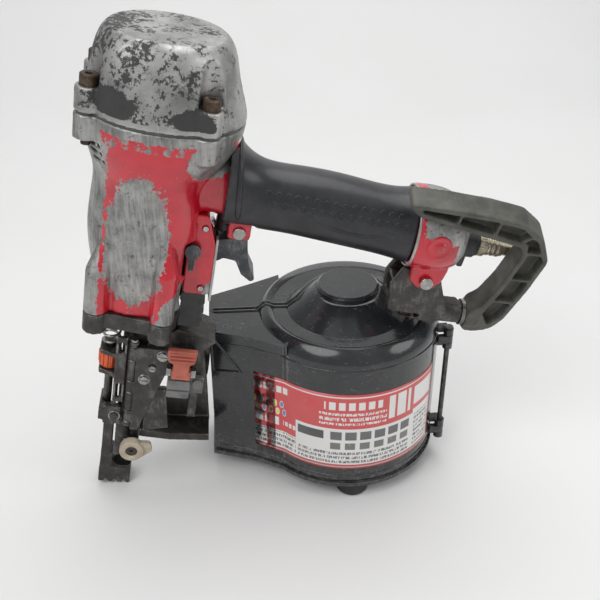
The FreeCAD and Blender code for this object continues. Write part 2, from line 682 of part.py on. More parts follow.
def feed_piston():
    y, h = FEED_AT
    head = rod_a(6.55, y, h, 29.2, 33.2)
    stem = rod_a(3.0, y, h, 12.8, 29.2)
    block = box((6.0, PAWL_AT[1] - 0.5, 73.0), (14.0, y + 4.0, 87.0))
    slot = box((5.0, 12.0, 76.0), (12.6, y + 1.0, 84.0))
    pin = rod_h(1.2, PAWL_AT[0], PAWL_AT[1] + 1.6, 73.5, 86.5)
    return fuse(cut(fuse(head, stem, block), slot), pin)


def feed_piston_spring():
    y, h = FEED_AT
    spring = coil(5.0, 0.6, 0, 0, 33.4, 45.5, 4)
    spring.rotate(V(0, 0, 0), V(0, 1, 0), 90)
    spring.translate(V(0, y, h))
    return spring


def feed_pawl():
    a, y = PAWL_AT
    body = fuse(rod_h(2.6, a, y + 1.6, 76.3, 83.7),
                plate_h([(a - 2.0, y + 2.0), (a + 2.2, y + 1.5), (a + 1.0, 12.2), (a - 2.6, 5.6),
                         (a - 4.6, 5.6), (a - 3.2, 12.2)], 76.3, 83.7, 0.5))
    return cut(body, rod_h(1.2 + RUN_GAP, a, y + 1.6, 70, 90))


def contact_tip():
    foot = plate_y([(-13.6, TIP_BASE), (6.0, TIP_BASE), (6.0, 11.0), (2.0, 13.0), (-13.6, 13.0)],
                   -8.0, 8.0, 1.0)
    stem = plate_y([(-13.0, 8.0), (-7.0, 8.0), (-7.0, 56.0), (-13.0, 56.0)], -7.0, 5.0, 1.0)
    shoulder = plate_y([(-13.2, 12.0), (-5.9, 12.0), (-5.9, 24.0), (-13.2, 27.0)], -7.0, 5.0, 0.8)
    screw_rod = rod_h(ROD_R, *DIAL_AT, 55.0, 107.0)
    teeth = []
    for a in (-10.4, -4.8, 0.8):
        teeth.append(plate_y([(a, TIP_BASE - 0.1), (a + 1.6, TIP_BASE + 3.0),
                              (a + 3.2, TIP_BASE - 0.1)], -9, 9))
    for y in (-4.6, 1.4):
        teeth.append(box((-20, y, -1), (10, y + 3.0, TIP_BASE + 2.0)))
    bore = rod_h(CHANNEL_R + 0.4, 0, 0, -1, 30)
    return cut(fuse(foot, stem, shoulder, screw_rod), bore, *teeth)


def tip_clamp():
    near = box((-13.4, -14.6, 54.0), (-3.2, -9.9, 67.0))
    front = box((-16.2, -14.6, 56.6), (-13.1, 6.0, 64.4))
    body = fuse(near, front, box((-13.4, -10.0, 56.6), (-9.7, -7.2, 64.4)))
    screw = rod_y(2.6, -6.8, 60.5, -16.4, -14.6)
    slot = box((-10.0, -17.0, 60.1), (-3.6, -15.5, 60.9))
    return cut(fuse(body, screw), slot, rod_h(ROD_R, *DIAL_AT, 50, 70))


def contact_arm():
    y_near = -14.4
    bars = fuse(box((-8.8, y_near, 70.6), (-2.4, -12.0, 117.0)),
                box((-8.8, y_near, 70.6), (-6.0, -9.6, 88.0)))
    low_ear = plate_h([(-18.2, -9.5), (-6.3, -14.4), (-6.3, 5.0), (-18.2, 5.0)], 87.6, 90.6, 2.0)
    high_ear = plate_h([(-18.2, -9.5), (-6.3, -14.4), (-6.3, 5.0), (-18.2, 5.0)], 101.4, 104.0, 2.0)
    slots = box((-7.2, -15.0, 74.0), (-4.0, -11.0, 84.0))
    window = box((-7.2, -15.0, 106.0), (-4.0, -11.0, 113.0))
    rod_hole = rod_h(ROD_R + RUN_GAP, *DIAL_AT, 80, 120)
    return cut(fuse(bars, low_ear, high_ear), rod_hole, slots, window)


def contact_spring():
    return coil(4.6, 0.8, DIAL_AT[0], DIAL_AT[1], 104.2, 127.8, 5)


def depth_dial():
    wheel = rod_h(DIAL_R, *DIAL_AT, DIAL_BASE, DIAL_TOP)
    grooves = []
    for i in range(14):
        t = 2 * pi * i / 14
        grooves.append(rod_h(0.75, DIAL_AT[0] + DIAL_R * cos(t), DIAL_AT[1] + DIAL_R * sin(t),
                             DIAL_BASE + 1.2, DIAL_TOP - 1.2))
    return cut(wheel, rod_h(ROD_R + RUN_GAP, *DIAL_AT, 80, 110), *grooves)


# ---- magazine (floor frame) ------------------------------------------------
def magazine_plan(grow=0.0):
    """Round coil chamber with a throat that narrows towards the nose."""
    r = MAG_R + grow
    left = -85.0 - grow
    circle = Part.Face(Part.Wire([Part.makeCircle(r, V(0, MAG_Y, 0))]))
    corners = [(left, 6.5 - grow), (-60.0, -2.6 - grow), (-42.5, -12.5 - grow), (0, MAG_Y),
               (-30.0, 74.0 + grow), (-60.0, 58.0 + grow), (left, 46.0 + grow)]
    throat = Part.Face(Part.makePolygon([V(x, y, 0) for x, y in corners + corners[:1]]))
    return circle.fuse(throat).removeSplitter()


def magazine_roof(shrink=0.0):
    t = shrink
    profile = [(0, 90.0), (MAG_R - t, 90.0), (MAG_R - t, MAG_SHOULDER - t * 0.3),
               (55.6 - t, 102.0 - t), (52.2 - t * 0.8, 106.9 - t), (50.0 - t * 0.3, 108.2 - t),
               (48.0, 107.8 - t), (46.0 + t * 0.2, 106.2 - t), (37.4, 106.0 - t),
               (21.6, 117.6 - t), (KNOB_R + 1.0, 118.6 - t), (0, 118.6 - t)]
    wire = Part.makePolygon([V(x, 0, z) for x, z in profile + profile[:1]])
    top = Part.Face(wire).revolve(V(0, 0, 0), V(0, 0, 1), 360)
    top.translate(V(0, MAG_Y, 0))
    return top


def magazine_solid(shrink, floor_z):
    plan = magazine_plan(-shrink)
    plan.translate(V(0, 0, floor_z))
    walls = plan.extrude(V(0, 0, MAG_SHOULDER - shrink * 0.3 - floor_z))
    throat = magazine_plan(-shrink).cut(Part.Face(Part.Wire([Part.makeCircle(
        MAG_R - shrink - 3.0, V(0, MAG_Y, 0))])))
    throat = throat.common(Part.makePlane(70, 200, V(-110, -60, 0)))
    throat.translate(V(0, 0, floor_z))
    high = throat.extrude(V(0, 0, MAG_CHANNEL_TOP - shrink - floor_z))
    return fuse(walls, high, magazine_roof(shrink))


def magazine_shell():
    outer = magazine_solid(0.0, MAG_FLOOR)
    inner = magazine_solid(MAG_WALL, MAG_FLOOR + MAG_FLOOR_T)
    mouth = box((-90.0, 10.5, 14.0), (-80.0, 24.0, 99.0))
    return cut(outer, inner, mouth)


def cover_side(gap):
    """Region of the swinging half; gap widens it to cut the fixed half."""
    near = plate_h([(-120, -80), (120, -80), (120, 9 + gap), (53.2, 9 + gap),
                    (36.0 + gap, SEAM_Y + gap), (-120, SEAM_Y + gap)], COVER_BASE - gap, 130)
    bump = plate_h([(-28.0 - gap * 1.5, SEAM_Y - 1), (-9.5 - gap, 48.6 + gap),
                    (9.0 + gap, 48.6 + gap), (29.0 + gap * 1.5, SEAM_Y - 1)], 98.0 - gap, 130.0)
    return fuse(near, bump)


def hinge_bands():
    return [(17.0, 22.0), (88.0, 93.0)]


def hinge_lug(z0, z1, y_lo, y_hi):
    """Barrel of the cover's hinge with a web back to the wall."""
    x, y = COVER_HINGE
    web = box((x - 6.5, y_lo, z0), (x, y_hi, z1)).cut(rod_h(MAG_R - 0.4, 0, MAG_Y, z0 - 1, z1 + 1))
    return fuse(rod_h(3.0, x, y, z0, z1), web)


def magazine_cover():
    x, y = COVER_HINGE
    half = magazine_shell().common(cover_side(0.0))
    knob = fuse(rod_h(KNOB_R, 0, MAG_Y, 118.0, 120.6),
                Part.makeCone(KNOB_R, KNOB_R - 1.4, 1.2, V(0, MAG_Y, 120.6)))
    ears = [hinge_lug(z0, z1, y - 3.0, y + 0.6) for z0, z1 in hinge_bands()]
    return cut(fuse(half, knob, *ears), rod_h(HINGE_PIN_R + RUN_GAP, x, y, 10, 100))


def magazine_body():
    x, y = COVER_HINGE
    half = magazine_shell().cut(cover_side(SEAM_GAP))
    rim_plan = magazine_plan(1.5)
    rim_plan.translate(V(0, 0, MAG_FLOOR))
    rim = rim_plan.extrude(V(0, 0, MAG_FLOOR_T - 0.2))
    barrels = []
    for z0, z1 in ((12.5, 16.7), (22.3, 26.5), (83.5, 87.7), (93.3, 97.5)):
        barrels.append(hinge_lug(z0, z1, y + 1.8, y + 6.0))
    pin_hole = rod_h(HINGE_PIN_R, x, y, 0, 110)
    spindle_hole = rod_h(4.0, 0, MAG_Y, MAG_FLOOR + 0.8, 20.0)
    ear_room = [rod_h(3.4, x, y, z0 - 0.3, z1 + 0.3) for z0, z1 in hinge_bands()]
    return cut(fuse(half, rim, *barrels), pin_hole, spindle_hole, *ear_room)


def magazine_hinge_pin():
    x, y = COVER_HINGE
    return fuse(rod_h(HINGE_PIN_R, x, y, 12.5, 97.5), rod_h(2.6, x, y, 97.5, 99.0))


def magazine_feet():
    feet = []
    for y in FOOT_YS:
        pad = rod_h(FOOT_R, 0, y, 0, MAG_FLOOR)
        low = [e for e in pad.Edges if e.BoundBox.ZMax < 0.1]
        feet.append(pad.makeChamfer(1.2, low))
    return group(feet)


def nail_spindle():
    base = rod_h(4.0, 0, MAG_Y, MAG_FLOOR + 0.8, MAG_FLOOR + MAG_FLOOR_T)
    post = rod_h(SPINDLE_R, 0, MAG_Y, MAG_FLOOR + MAG_FLOOR_T, SPINDLE_TOP)
    tip = Part.makeCone(SPINDLE_R, 3.0, 4.0, V(0, MAG_Y, SPINDLE_TOP))
    steps = [ring_h(SPINDLE_R + 1, SPINDLE_R - 0.8, 0, MAG_Y, z, z + 2.0)
             for z in (40.0, 52.0, 64.0)]
    return cut(fuse(base, post, tip), *steps)


def nail_platform():
    disc = rod_h(PLATFORM_R, 0, MAG_Y, PLATFORM_Z, PLATFORM_Z + 2.6)
    hub = rod_h(14.0, 0, MAG_Y, PLATFORM_Z, PLATFORM_Z + 14.0)
    windows = []
    for i in range(6):
        t = radians(60 * i + 30)
        windows.append(rod_h(7.5, 31 * cos(t), MAG_Y + 31 * sin(t), PLATFORM_Z - 1, PLATFORM_Z + 4))
    return cut(fuse(disc, hub), rod_h(SPINDLE_R + RUN_GAP, 0, MAG_Y, 0, 100), *windows)


def cover_label():
    """Thin printed sheet wrapped round the cover's wall."""
    z0, z1 = LABEL_Z
    band = ring_h(MAG_R + 0.25, MAG_R, 0, MAG_Y, z0, z1)
    first, last = [radians(t) for t in LABEL_ANGLES]
    reach = 130.0
    middle = (first + last) / 2
    fan = [(0.0, MAG_Y), (reach * cos(first), MAG_Y + reach * sin(first)),
           (2 * reach * cos(middle), MAG_Y + 2 * reach * sin(middle)),
           (reach * cos(last), MAG_Y + reach * sin(last))]
    sheet = band.common(plate_h(fan, z0 - 1, z1 + 1))
    return cut(sheet, magazine_throat_wedge())


def magazine_throat_wedge():
    return plate_h([(-120.0, -20.0), (-42.4, -14.0), (-38.0, MAG_Y), (-120.0, MAG_Y)], 0, 120)


def magazine_stay():
    """Strut from the fixed half of the magazine up to the hook bracket."""
    foot = plate_h([(16, 38), (42, 34), (42, 58), (16, 58)], 104.0, 108.0, 3.0)
    foot = cut(foot, magazine_roof(0.0))
    post = plate_y([(26.0, 106.0), (40.0, 106.0), (44.0, 126.0), (30.0, 130.0)], 33.0, 39.0, 2.0)
    bridge = box((29.5, 10.6, 123.0), (42.5, 39.0, 128.0))
    return fuse(cut(post, magazine_roof(0.0)), bridge, foot)


# ---- hook (hook frame: X along the pivot bolt, Z up the loop) -----------------
def hook_path():
    outer = [(-45.5, 88.0), (-20.0, 88.0), (3.0, 86.5), (22.0, 83.5), (35.0, 74.0), (43.8, 58.0),
             (42.0, 34.0), (38.0, 6.0), (33.0, -5.0), (24.0, -8.4), (15.6, -8.4)]
    inner = [(15.6, 8.6), (20.4, 13.0), (25.0, 32.0), (27.6, 58.0), (26.0, 66.5), (2.0, 71.5),
             (-36.0, 80.0)]
    return outer + inner


def hook_arm():
    half = HOOK_W / 2
    plan = hook_path()
    full = plate_y(plan, -half, half, 11.0)
    inset = [(-36.0, 85.2), (2.0, 83.5), (20.0, 80.8), (32.5, 71.5), (40.6, 57.5), (39.0, 34.0),
             (35.2, 8.0), (30.5, -2.0), (24.0, 8.0), (28.2, 31.0), (30.8, 58.5), (28.0, 69.6),
             (2.0, 74.6), (-34.0, 82.6)]
    pockets = [plate_y(inset, -half - 1, -1.4), plate_y(inset, 1.4, half + 1)]
    ribs = []
    for x, z in ((-14.0, 80.0), (8.0, 78.0), (28.0, 74.0), (36.0, 62.0), (34.0, 40.0), (31.5, 20.0)):
        bar = box((x - 0.9, -half + 0.6, z - 16), (x + 0.9, half - 0.6, z + 16))
        bar.rotate(V(x, 0, z), V(0, 1, 0), 0 if x < 20 else (45 if x < 30 else 90))
        ribs.append(bar.common(full))
    hub = rod_a(8.6, 0, 0, 15.4, 24.0)
    body = fuse(cut(full, *pockets), *ribs, hub)
    return cut(body, rod_a(HOOK_BOLT_R + RUN_GAP, 0, 0, 0, 23.0))


def hook_pivot_sleeve():
    tube = rod_a(HOOK_SLEEVE_R, 0, 0, -13.0, 13.2)
    wings = [plate_h([(-13.0, -3.4), (13.0, -3.4), (9.0, 3.4), (-9.0, 3.4)], 5.0, 9.0, 1.0)]
    return cut(fuse(tube, *wings), rod_a(HOOK_BOLT_R, 0, 0, -40, 40))


def hook_bolt():
    shank = rod_a(HOOK_BOLT_R, 0, 0, -25.0, 22.6)
    groove = rod_a(HOOK_BOLT_R + 1, 0, 0, -24.2, -23.6).cut(rod_a(2.4, 0, 0, -26, -20))
    return cut(shank, groove)


def hook_nut():
    hexagon = [(6.2 * cos(radians(60 * i)), 6.2 * sin(radians(60 * i))) for i in range(6)]
    nut = Part.Face(Part.makePolygon([V(-23.0, p, q) for p, q in hexagon + hexagon[:1]]))
    nut = nut.extrude(V(5.2, 0, 0))
    plate = rod_a(8.6, 0, 0, -17.8, -16.2)
    return cut(fuse(nut, plate), rod_a(HOOK_BOLT_R, 0, 0, -40, 40))


def hook_springs():
    """Two detent springs either side of the bracket's middle web (drive frame)."""
    springs = []
    for y in (-3.3, 3.3):
        spring = coil(2.3, 0.7, 0, 0, 0, 17.0, 6)
        spring.rotate(V(0, 0, 0), V(0, 1, 0), 90)
        spring.translate(V(149.0, y, 163.0))
        springs.append(spring)
    return group(springs)


def hook_bracket():
    """Cast bracket from the end cap's lugs down to the pivot bolt (drive frame)."""
    cheeks = []
    for y in (-9.8, 6.6):
        cheeks.append(plate_y([(145.0, 179.6), (166.0, 179.0), (169.0, 171.0), (177.0, 152.0),
                               (170.0, 145.0), (150.0, 148.0), (141.0, 152.0), (139.5, 168.0)],
                              y, y + 3.2, 2.5))
    web = plate_y([(141.0, 170.6), (166.0, 170.6), (167.0, 168.4), (141.0, 168.4)], -6.6, 6.6)
    band = plate_y([(141.5, 158.2), (170.0, 157.0), (172.0, 152.0), (141.5, 153.0)], -6.6, 6.6, 1.0)
    room = pivot_room()
    return cut(fuse(*cheeks, web, band), rod_y(BRACKET_PIN_R, *BRACKET_PIN, -20, 20), room)


def bracket_pin():
    a, h = BRACKET_PIN
    return fuse(rod_y(BRACKET_PIN_R, a, h, -17.0, 17.0), rod_y(3.6, a, h, -18.6, -17.0),
                rod_y(3.6, a, h, 17.0, 18.6))


def pivot_room():
    """Space of the pivot sleeve and its nut, seen from the drive frame."""
    solid = fuse(rod_a(HOOK_SLEEVE_R + 0.02, 0, 0, -13.0, 13.2), rod_a(9.8, 0, 0, -30.0, -13.0),
                 rod_a(10.2, 0, 0, 13.2, 34.0),
                 plate_h([(-13.0, -3.4), (13.0, -3.4), (9.0, 3.4), (-9.0, 3.4)], 5.0, 9.0))
    floor_solid = in_frame(solid, hook_placement())
    return in_frame(floor_solid, drive_placement().inverse())


# ---- every node with its frame ---------------------------------------------
def drive_nodes():
    return {
        "cylinder_cap": cylinder_cap, "cap_screws": cap_screws, "cap_gasket": cap_gasket,
        "main_housing": main_housing, "cylinder_sleeve": cylinder_sleeve, "bumper": bumper,
        "nose_screws": nose_screws, "head_valve": head_valve,
        "head_valve_spring": head_valve_spring, "piston": piston,
        "driver_blade": driver_blade, "grip_sleeve": grip_sleeve, "end_cap": end_cap,
        "end_cap_screws": end_cap_screws, "trigger": trigger, "trigger_pin": trigger_pin,
        "trigger_valve": trigger_valve, "valve_stem": valve_stem, "stem_spring": stem_spring,
        "trigger_valve_block": trigger_valve_block, "valve_base": valve_base,
        "strip_plate": strip_plate, "mode_selector": mode_selector, "block_pins": block_pins,
        "nose_body": nose_body, "feed_guide": feed_guide, "nose_door": nose_door,
        "door_screws": door_screws, "door_pin": door_pin,
        "latch_lever": latch_lever, "latch_pin": latch_pin, "latch_block": latch_block,
        "magnet_holder": magnet_holder, "nose_magnet": nose_magnet,
        "feed_cylinder": feed_cylinder, "feed_piston": feed_piston,
        "feed_piston_spring": feed_piston_spring, "feed_pawl": feed_pawl,
        "contact_tip": contact_tip, "tip_clamp": tip_clamp, "contact_arm": contact_arm,
        "contact_spring": contact_spring, "depth_dial": depth_dial,
        "hook_springs": hook_springs, "hook_bracket": hook_bracket, "bracket_pin": bracket_pin,
    }


def plug_nodes():
    return {"plug_collar": plug_collar, "air_plug": air_plug}


def floor_nodes():
    return {
        "magazine_body": magazine_body, "magazine_cover": magazine_cover,
        "magazine_hinge_pin": magazine_hinge_pin, "magazine_feet": magazine_feet,
        "nail_spindle": nail_spindle, "nail_platform": nail_platform,
        "cover_label": cover_label, "magazine_stay": magazine_stay,
    }


def hook_nodes():
    return {"hook_arm": hook_arm, "hook_pivot_sleeve": hook_pivot_sleeve,
            "hook_bolt": hook_bolt, "hook_nut": hook_nut}


def build_floor_frame():
    shapes = {}
    for name, make in drive_nodes().items():
        shapes[name] = in_frame(make(), drive_placement())
    for name, make in plug_nodes().items():
        shapes[name] = in_frame(in_frame(make(), plug_placement()), drive_placement())
    for name, make in floor_nodes().items():
        shapes[name] = make()
    for name, make in hook_nodes().items():
        shapes[name] = in_frame(make(), hook_placement())
    return shapes


def row_shift(shapes):
    """Moves the middle of the whole tool's footprint to the origin."""
    whole = FreeCAD.BoundBox()
    for shape in shapes.values():
        whole.add(shape.optimalBoundingBox(False, False))
    return V(-whole.Center.x, -whole.Center.y, -whole.ZMin)


def main():
    os.makedirs("parts", exist_ok=True)
    shapes = build_floor_frame()
    shift = row_shift(shapes)
    print("row shift", shift)
    for name, shape in shapes.items():
        shape.translate(shift)
        if not shape.isValid() or not shape.Solids:
            print("check", name, shape.isValid(), len(shape.Solids))
        shape.exportStep("parts/" + name + ".step")
    print(len(shapes), "nodes")


main()
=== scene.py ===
"""Looks of the coil nailer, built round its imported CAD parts."""

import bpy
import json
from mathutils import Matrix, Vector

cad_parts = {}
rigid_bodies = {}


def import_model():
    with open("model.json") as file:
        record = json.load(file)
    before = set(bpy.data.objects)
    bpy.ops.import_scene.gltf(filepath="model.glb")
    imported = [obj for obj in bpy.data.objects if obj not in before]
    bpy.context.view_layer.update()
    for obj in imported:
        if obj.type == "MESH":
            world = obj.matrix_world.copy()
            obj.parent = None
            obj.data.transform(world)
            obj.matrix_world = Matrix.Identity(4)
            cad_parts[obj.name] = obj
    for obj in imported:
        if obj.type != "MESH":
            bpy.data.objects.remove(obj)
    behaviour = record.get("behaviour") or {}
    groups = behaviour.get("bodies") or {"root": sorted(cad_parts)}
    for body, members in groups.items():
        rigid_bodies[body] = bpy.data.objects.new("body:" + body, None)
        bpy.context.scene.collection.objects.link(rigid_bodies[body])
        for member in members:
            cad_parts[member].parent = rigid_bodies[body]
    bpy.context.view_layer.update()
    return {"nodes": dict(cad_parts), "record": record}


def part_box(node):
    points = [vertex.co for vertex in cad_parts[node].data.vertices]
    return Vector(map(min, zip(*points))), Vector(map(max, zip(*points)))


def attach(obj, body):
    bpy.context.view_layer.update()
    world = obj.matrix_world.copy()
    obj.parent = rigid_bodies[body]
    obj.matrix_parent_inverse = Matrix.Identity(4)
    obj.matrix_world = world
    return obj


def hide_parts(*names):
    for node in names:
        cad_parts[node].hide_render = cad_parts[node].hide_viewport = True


bl_info = {
    "name": "Coil nailer looks",
    "version": (1, 0, 0),
    "blender": (4, 2, 0),
    "location": "View3D > Sidebar > Nailer",
    "description": "Finishes the CAD parts of a worn coil nailer and sets its stage",
    "category": "Object",
}

import json
import math

import bmesh
import bpy
import numpy as np
from mathutils import Matrix, Vector
from mathutils.bvhtree import BVHTree

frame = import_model()

MM = 0.001
SLOTS = {part["node"]: part["material_slot"] for part in frame["record"]["subparts"]}
BODY_OF = {n: body for body, members in frame["record"]["behaviour"]["bodies"].items() for n in members}

# ---- frames ---------------------------------------------------------------
# Floor frame: mm from the foot of a line 26 mm short of the spindle, Z up.
# Drive frame: a across the tool, h along the cylinder, leaning back 10 degrees.
SPINDLE_LOW, SPINDLE_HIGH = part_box("nail_spindle")
MAG_Y = 26.0
ORIGIN = Vector((
    (SPINDLE_LOW.x + SPINDLE_HIGH.x) / 2,
    (SPINDLE_LOW.y + SPINDLE_HIGH.y) / 2 - MAG_Y * MM,
    0.0,
))
LEAN = math.radians(10.0)
DRIVE_FOOT_X = -147.2
FLOOR_FRAME = Matrix.Translation(ORIGIN)
DRIVE_FRAME = (
    FLOOR_FRAME @ Matrix.Translation((DRIVE_FOOT_X * MM, 0, 0)) @ Matrix.Rotation(LEAN, 4, "Y")
)
HOOK_FRAME = (
    FLOOR_FRAME
    @ Matrix.Translation((0.050, 0, 0.117))
    @ Matrix.Rotation(math.radians(10.0), 4, "Y")
    @ Matrix.Rotation(math.radians(19.4), 4, "X")
)
PLUG_FRAME = (
    DRIVE_FRAME
    @ Matrix.Translation((0.172, 0, 0.1962))
    @ Matrix.Rotation(math.radians(3.0), 4, "Y")
)


def spot(matrix, x, y, z):
    """A point given in mm of one of the frames, in metres of the row frame."""
    return matrix @ Vector((x * MM, y * MM, z * MM))


# ---- settings ---------------------------------------------------------------
class NailerFormSettings(bpy.types.PropertyGroup):
    cast_voxel: bpy.props.FloatProperty(
        name="Casting voxel",
        description="Grid size when a casting is rounded",
        default=0.0008,
        min=0.0004,
        unit="LENGTH",
        subtype="DISTANCE",
    )
    cast_rounds: bpy.props.IntProperty(
        name="Casting rounds", description="Smoothing passes on a casting", default=5, min=0
    )
    keep_share: bpy.props.FloatProperty(
        name="Kept faces",
        description="Share of the faces kept after a casting is rounded",
        default=0.55,
        min=0.1,
        max=1.0,
        subtype="FACTOR",
    )
    edge: bpy.props.FloatProperty(
        name="Edge break",
        description="Width of the broken edge on machined parts",
        default=0.00035,
        unit="LENGTH",
        subtype="DISTANCE",
    )
    dimples: bpy.props.IntProperty(
        name="Grip dimples", description="Dimples in one row of the grip", default=15, min=1
    )
    dial_ribs: bpy.props.IntProperty(
        name="Dial ribs", description="Ribs round the depth dial", default=14, min=3
    )
    plug_ribs: bpy.props.IntProperty(
        name="Plug ribs", description="Ribs round the air plug's nut", default=30, min=3
    )
    wall_ticks: bpy.props.IntProperty(
        name="Wall ticks", description="Level marks on the magazine wall", default=9, min=2
    )


class NailerStageSettings(bpy.types.PropertyGroup):
    lens: bpy.props.FloatProperty(
        name="Lens", description="Focal length of the camera", default=54.0, unit="CAMERA"
    )
    key_power: bpy.props.FloatProperty(
        name="Key light", description="Power of the large soft light", default=6.2, unit="POWER"
    )
    top_power: bpy.props.FloatProperty(
        name="Top light", description="Power of the light overhead", default=9.0, unit="POWER"
    )
    room: bpy.props.FloatProperty(
        name="Room light", description="Strength of the light from the room", default=0.46, min=0.0
    )


# ---- shader building ----------------------------------------------------------
class Value:
    """A shader value; sums of values read as ordinary arithmetic."""

    def __init__(self, paint, socket):
        self.paint = paint
        self.socket = socket

    def __add__(self, other):
        return self.paint.maths("ADD", self, other)

    __radd__ = __add__

    def __sub__(self, other):
        return self.paint.maths("SUBTRACT", self, other)

    def __rsub__(self, other):
        return self.paint.maths("SUBTRACT", other, self)

    def __mul__(self, other):
        return self.paint.maths("MULTIPLY", self, other)

    __rmul__ = __mul__

    def __truediv__(self, other):
        return self.paint.maths("DIVIDE", self, other)

    def __rtruediv__(self, other):
        return self.paint.maths("DIVIDE", other, self)

    def most(self, other):
        return self.paint.maths("MAXIMUM", self, other)

    def least(self, other):
        return self.paint.maths("MINIMUM", self, other)

    def root(self):
        return self.paint.maths("SQRT", self)

    def part(self):
        """What is left after the whole number."""
        return self.paint.maths("FRACT", self)

    def whole(self):
        return self.paint.maths("FLOOR", self)

    def fade(self, low, high):
        """0 below low, 1 above high and smooth between; low may be the larger."""
        span = {"Value": self, "From Min": low, "From Max": high}
        return self.paint.node("ShaderNodeMapRange", span, interpolation_type="SMOOTHSTEP")


class Paint:
    """One procedural material on a Principled BSDF, measured in mm of the floor frame."""

    def __init__(self, name):
        self.material = bpy.data.materials.new(name)
        self.material.use_nodes = True
        self.tree = self.material.node_tree
        self.bsdf = self.tree.nodes["Principled BSDF"]
        place = self.node("ShaderNodeTexCoord", output="Object")
        shifted = self.node(
            "ShaderNodeVectorMath", {0: place, 1: tuple(ORIGIN)}, operation="SUBTRACT"
        )
        self.place = self.node(
            "ShaderNodeVectorMath", {0: shifted, "Scale": 1000.0}, operation="SCALE"
        )
        self.x = self.along(1, 0, 0)
        self.y = self.along(0, 1, 0)
        self.z = self.along(0, 0, 1)
        cos, sin = math.cos(LEAN), math.sin(LEAN)
        self.a = self.along(cos, 0, -sin) - DRIVE_FOOT_X * cos
        self.h = self.along(sin, 0, cos) - DRIVE_FOOT_X * sin

    def node(self, kind, inputs=None, output=0, **settings):
        made = self.tree.nodes.new(kind)
        for key, value in settings.items():
            setattr(made, key, value)
        for key, value in (inputs or {}).items():
            if isinstance(value, Value):
                self.tree.links.new(value.socket, made.inputs[key])
            else:
                made.inputs[key].default_value = value
        return Value(self, made.outputs[output])

    def maths(self, operation, *values):
        return self.node("ShaderNodeMath", dict(enumerate(values)), operation=operation)

    def along(self, x, y, z):
        return self.node(
            "ShaderNodeVectorMath",
            {0: self.place, 1: (x, y, z)},
            "Value",
            operation="DOT_PRODUCT",
        )

    def noise(self, scale, detail=3.0, rough=0.55, seed=0.0, stretch=(1, 1, 1)):
        where = self.node(
            "ShaderNodeVectorMath",
            {0: self.place, 1: stretch, 2: (seed, seed * 1.7, seed * 0.6)},
            operation="MULTIPLY_ADD",
        )
        return self.node(
            "ShaderNodeTexNoise",
            {"Vector": where, "Scale": scale, "Detail": detail, "Roughness": rough},
        )

    def measure(self, name):
        return self.node("ShaderNodeAttribute", output="Fac", attribute_name=name)

    def mix(self, share, first, second):
        colours = {0: share}
        for key, colour in ((6, first), (7, second)):
            colours[key] = colour if isinstance(colour, Value) else (*colour, 1.0)
        return self.node("ShaderNodeMix", colours, 2, data_type="RGBA")

    def patch(self, u, v, centre, half):
        """1 in the middle of an ellipse, 0 on its edge and negative outside."""
        p = (u - centre[0]) / half[0]
        q = (v - centre[1]) / half[1]
        return 1.0 - (p * p + q * q).root()

    def finish(self, colour, rough, metal=0.0, coat=None, height=None, depth=0.1, **fixed):
        """Joins the values to the shader; height is a bump of depth mm."""
        sockets = {"Base Color": colour, "Roughness": rough, "Metallic": metal}
        if coat is not None:
            sockets["Coat Weight"] = coat
        if height is not None:
            sockets["Normal"] = self.node(
                "ShaderNodeBump", {"Strength": 1.0, "Distance": depth * MM, "Height": height}
            )
        for key, value in sockets.items():
            if isinstance(value, Value):
                self.tree.links.new(value.socket, self.bsdf.inputs[key])
            else:
                self.bsdf.inputs[key].default_value = value
        for key, value in fixed.items():
            self.bsdf.inputs[key.replace("_", " ")].default_value = value
        return self.material


def shared(build):
    """Builds a material the first time it's asked for and hands it back after that."""
    made = {}

    def find(*key):
        if key not in made:
            made[key] = build(*key)
        return made[key]

    return find


# ---- materials ------------------------------------------------------------------
ALLOY = (0.50, 0.495, 0.48)
ALLOY_DULL = (0.25, 0.25, 0.245)
RED = (0.60, 0.006, 0.024)
RED_DEEP = (0.40, 0.004, 0.016)
SOOT = (0.018, 0.018, 0.019)
# Dark brown used for grime and for painted shade in hollows.
GRIME_AND_SHADE = (0.045, 0.036, 0.028)


@shared
def cast_cap():
    p = Paint("Scratched cast alloy")
    cloud = p.noise(0.05, 4.0, 0.6)
    grain = p.noise(2.2, 4.0, 0.7, 5.0)
    speck = p.noise(0.42, 9.0, 0.74, 11.0)
    drift = p.noise(0.085, 4.0, 0.62, 23.0)
    left = p.a.fade(-12.0, -32.0) * p.h.fade(262.0, 284.0)
    blot = p.patch(p.a, p.h, (-20.0, 259.5), (12.0, 8.5))
    blot = blot.most(p.patch(p.a, p.h, (19.0, 257.5), (12.0, 7.0)))
    blot = blot.most(0.0) * p.y.fade(-4.0, -14.0)
    lip = p.h.fade(254.0, 252.6)
    worn = p.measure("wear")
    soot = speck * 0.62 + drift * 0.52 + left * 0.08 + blot * 0.5
    soot = (soot - worn * 0.2 - lip * 0.3).fade(0.585, 0.63)
    scratch = p.noise(1.0, 2.0, 0.5, 40.0, (1.0, 1.0, 0.07)).fade(0.66, 0.72)
    brushed = p.noise(0.7, 3.0, 0.6, 61.0, (0.06, 1.0, 1.0)).fade(0.62, 0.72)
    base = p.mix(cloud.fade(0.3, 0.7), ALLOY_DULL, ALLOY)
    base = p.mix((scratch + brushed).least(1.0) * 0.45, base, (0.72, 0.71, 0.69))
    # Hollows darkened towards dark brown: painted shade, with some grime.
    base = p.mix(p.measure("hollow_shade_and_grime") * 0.7, base, GRIME_AND_SHADE)
    base = p.mix(soot * 0.94, base, SOOT)
    rough = 0.36 + grain * 0.16 + soot * 0.16
    metal = 0.92 - soot * 0.85
    height = grain * 0.45 + soot * 0.5 - scratch * 0.5
    return p.finish(base, rough, metal, None, height, 0.09)


